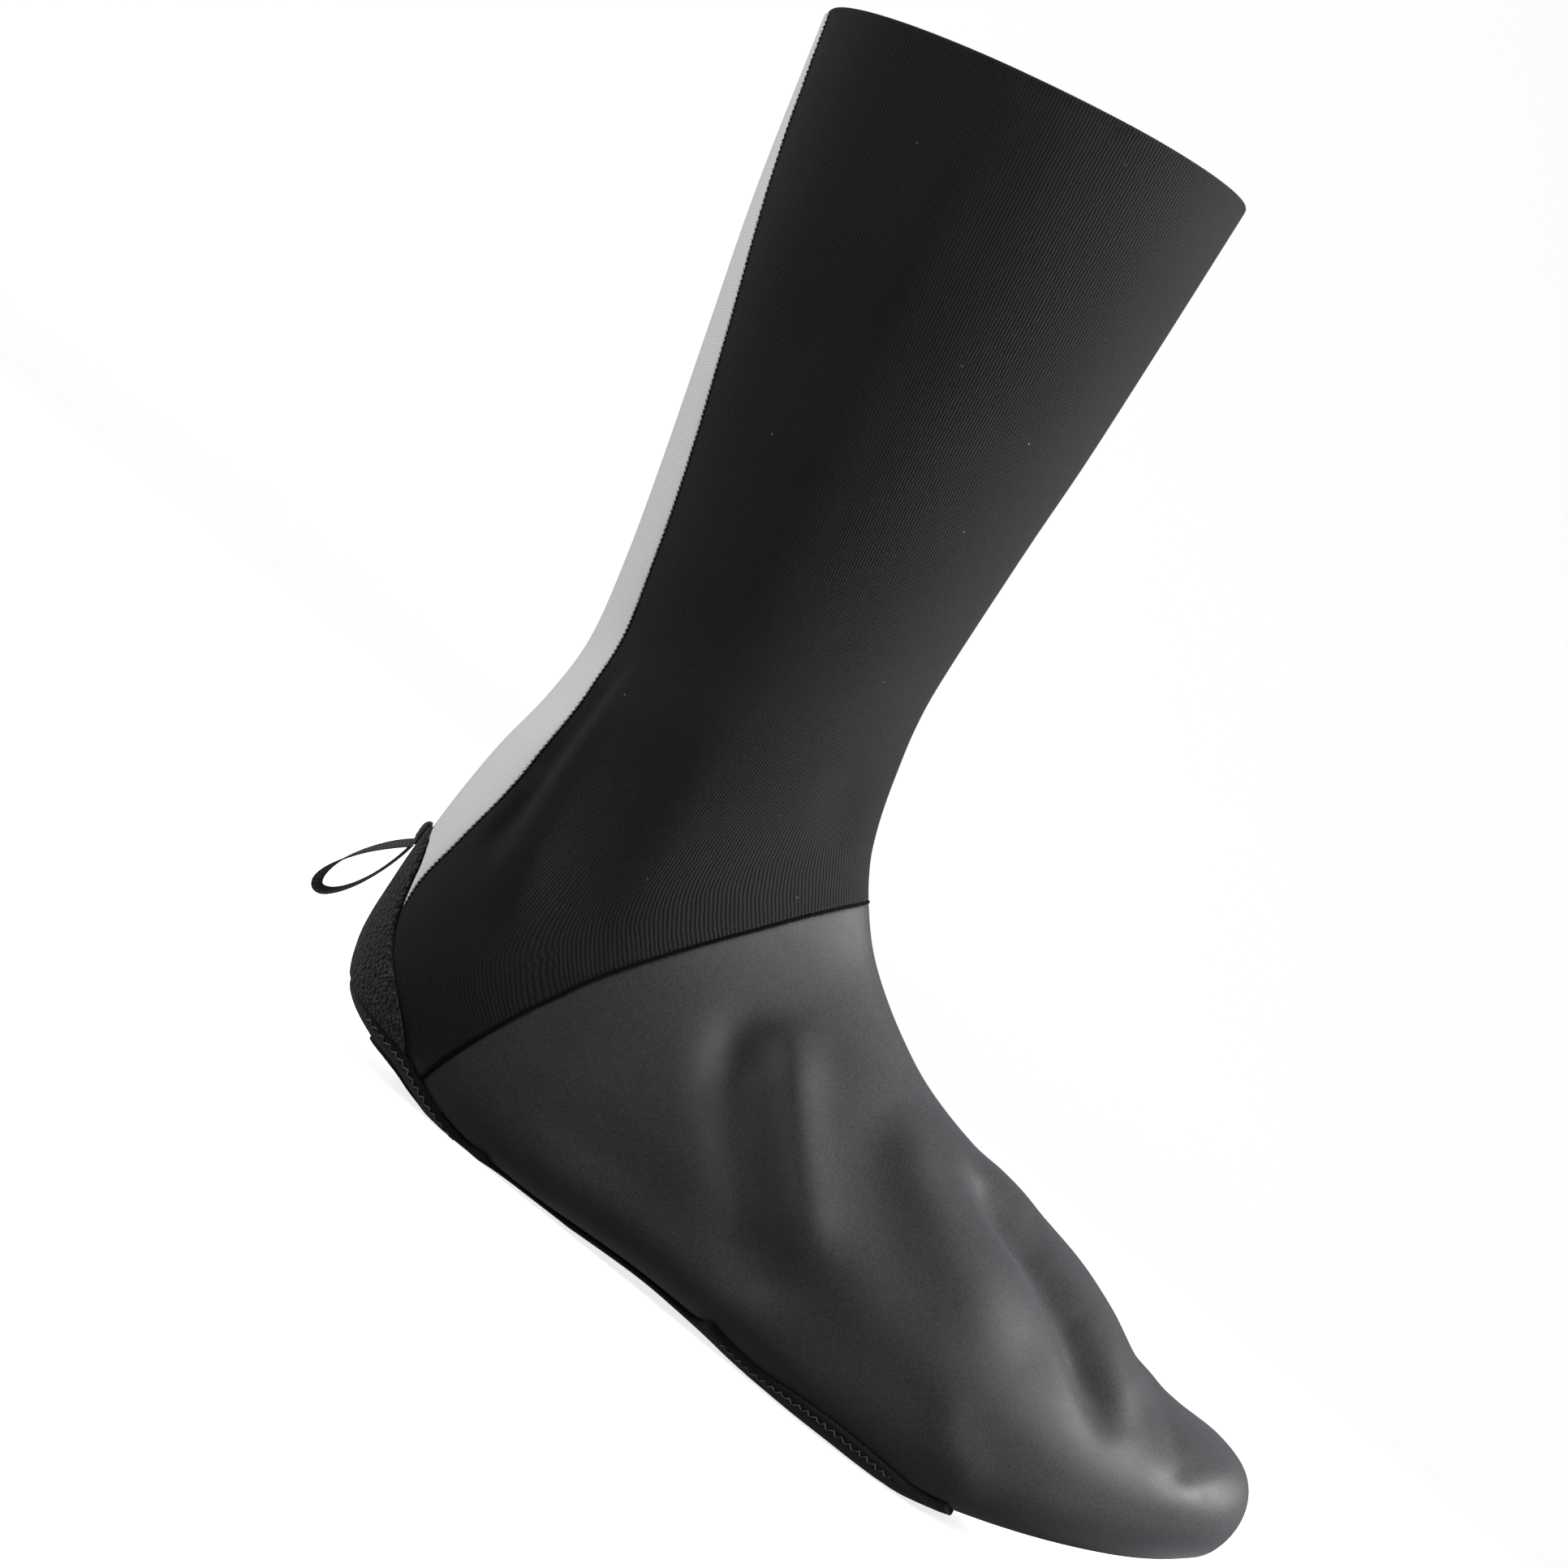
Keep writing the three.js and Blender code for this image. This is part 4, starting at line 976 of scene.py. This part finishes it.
def loop_tab():
    """The rolled end of the patch that holds the loop's two ends."""
    base, out, up = loop_frame()
    rows, columns = 45, 33
    u = np.linspace(-1, 1, rows)[:, None]
    v = np.linspace(-1, 1, columns)[None]
    half = (TAB_WIDTH / 2) * (1 - 0.10 * smooth(u))
    rise = (1 - np.abs(u) ** 3) ** 0.5 * (1 - np.abs(v) ** 5) ** 0.5
    roll = 0.22 * np.exp(-((u + 0.55) / 0.16) ** 2) + 0.12 * np.exp(-((u + 0.1) / 0.12) ** 2)
    middle = base + up * (TAB_LIFT + u * TAB_LENGTH / 2)[..., None]
    middle = middle + np.array([0, 1.0, 0]) * (v * half)[..., None]
    outer = middle + out * (rise * (TAB_THICKNESS - roll))[..., None]
    inner = middle - out * (0.3 + 0.9 * rise * smooth((u + 0.2) / 0.5))[..., None]
    cloth = np.stack(np.broadcast_arrays(v * half, u * TAB_LENGTH / 2, 0 * u), -1)
    points, faces, _, cloth = sheet_mesh(outer, inner, cloth)
    make_object("loop_tab", points, faces, cloth, [BINDING])


pull_loop()
loop_tab()


# Seam and stitches

seam_turns = np.concatenate([np.linspace(0.07, 0.5, 160), np.linspace(0.5, 0.93, 160)[1:]])
seam_stations = seam_station(seam_turns)
seam_points, = grids(seam_stations, seam_turns, 0.02)
seam_out = normals(seam_stations, seam_turns)
wobble = np.random.default_rng(7).normal(0, 0.05, (len(seam_points), 3))
tube("ankle_seam", seam_points + wobble, 0.48, SEAM_THREAD, 8, 0.6, seam_out)


STITCH_PITCH = 2.9
STITCH_WIDTH = 1.9
STITCH_BELOW = 1.0  # from the sole's edge to the stitches
STITCH_RADIUS = 0.19
STITCH_STEPS = 6  # points along each stitch


def zigzag(name, side, first, last):
    """Zigzag stitches a little below the sole's edge on one side, between two stations."""
    stations = np.linspace(first, last, 220)
    limit = low_turn(stations, side, sole_limit)
    edge_turns, lower_turns = (t if side < 0 else 1 - t for t in (limit, limit - 0.004))
    edge, = grids(stations, edge_turns, FLOOR_OFFSET)
    lower, = grids(stations, lower_turns, FLOOR_OFFSET)
    length = run_along(edge)
    steps = int(length[-1] / (STITCH_PITCH / 2))
    random = np.random.default_rng(len(name))
    at = (np.arange(steps + 1) + random.uniform(-0.22, 0.22, steps + 1)) * STITCH_PITCH / 2
    line, fall, rise = (np.stack([np.interp(at, length, grid[:, k]) for k in range(3)], -1)
                        for grid in (edge, unit(lower - edge), normals(stations, lower_turns)))
    swing = np.where(np.arange(steps + 1) % 2 == 0, 0.0, STITCH_WIDTH)
    offset = STITCH_BELOW + swing + random.uniform(-0.3, 0.3, steps + 1)
    corners = line + fall * offset[:, None]
    fine = [a + (b - a) * t + o * (0.02 + 0.14 * math.sin(math.pi * t))
            for a, b, o in zip(corners[:-1], corners[1:], rise[:-1])
            for t in np.linspace(0, 1, STITCH_STEPS + 1)[:-1]]
    outs = np.repeat(rise[:-1], STITCH_STEPS, axis=0)
    tube(name, np.array(fine), STITCH_RADIUS, THREAD, 6, 1.0, outs)


for band, first, last in (("heel", 13.85, 15.75), ("ball", 7.0, 9.75)):
    for side, label in ((-1, "outer"), (1, "inner")):
        zigzag(f"{band}_band_stitch_{label}", side, first, last)


# Camera, lights and floor

ROLL = math.radians(38.2)
RIGHT = Vector((math.cos(ROLL), 0, math.sin(ROLL)))  # the picture's right and up
ABOVE = Vector((-math.sin(ROLL), 0, math.cos(ROLL)))
CAMERA_DISTANCE = 1.25
FRAME_WIDTH = 0.431  # width of the picture at the cover's middle plane
AIM = Vector((-0.0517, 0, 0.1307))


def camera():
    data = bpy.data.cameras.new("camera")
    data.sensor_width = 36.0
    data.lens = data.sensor_width * CAMERA_DISTANCE / FRAME_WIDTH
    data.clip_end = 50.0
    made = in_scene("camera", data)
    turned = Matrix((RIGHT, ABOVE, Vector((0, -1, 0)))).transposed().to_4x4()
    made.matrix_world = Matrix.Translation(AIM + Vector((0, -CAMERA_DISTANCE, 0))) @ turned
    bpy.context.scene.camera = made


def area_light(name, place_at, target, size, power):
    data = bpy.data.lights.new(name, "AREA")
    data.shape = "DISK"
    data.size = size
    data.energy = power
    made = in_scene(name, data)
    made.location = place_at
    made.rotation_euler = (Vector(target) - Vector(place_at)).to_track_quat("-Z", "Y").to_euler()


def backdrop():
    """A pale round floor that curves up into a wall on every side."""
    look = Look("floor")
    tone = look.noise(look.place, 0.002, 2.0)
    look.set(Base_Color=look.color(tone, (0.80, 0.80, 0.80, 1), (0.84, 0.84, 0.84, 1)),
             Roughness=0.9, Specular_IOR_Level=0.1, Emission_Color=(1, 1, 1, 1), Emission_Strength=0.8)
    reach, bend, top, spokes = 4.6, 1.6, 6.0, 96
    profile = [(0.35 * k, 0.0) for k in range(1, 9)] + [(reach - bend, 0.0)]
    profile += [(reach - bend + bend * math.sin(a), bend * (1 - math.cos(a)))
                for a in np.linspace(0, math.pi / 2, 24)[1:]]
    profile += [(reach, top), (0.8 * reach, 1.2 * top)]
    points = [(0.0, 0.0, 0.0)]
    points += [(r * math.cos(2 * math.pi * k / spokes), r * math.sin(2 * math.pi * k / spokes), z)
               for r, z in profile for k in range(spokes)]
    faces = [(0, 1 + k, 1 + (k + 1) % spokes) for k in range(spokes)]
    faces += [(1 + i * spokes + k, 1 + (i + 1) * spokes + k, 1 + (i + 1) * spokes + (k + 1) % spokes,
               1 + i * spokes + (k + 1) % spokes) for i in range(len(profile) - 1) for k in range(spokes)]
    mesh = bpy.data.meshes.new("floor")
    mesh.from_pydata(points, [], faces)
    mesh.materials.append(look.material)
    mesh.polygons.foreach_set("use_smooth", np.ones(len(faces), bool))
    made = in_scene("floor", mesh)
    made.visible_diffuse = False
    made.visible_glossy = False


camera()
backdrop()
area_light("key", (1.5, -0.02, 1.0), (0, 0, 0.13), 0.7, 50)
area_light("front", (1.25, -1.05, 1.1), (0, 0, 0.13), 0.6, 19)
area_light("back", (-1.3, -0.25, 0.55), (0, 0, 0.15), 0.8, 10)

world = bpy.data.worlds.new("studio")
world.use_nodes = True
light = world.node_tree.nodes["Background"].inputs
light[0].default_value = (1, 1, 1, 1)
light[1].default_value = 0.13
bpy.context.scene.world = world
bpy.context.scene.view_settings.view_transform = "Standard"
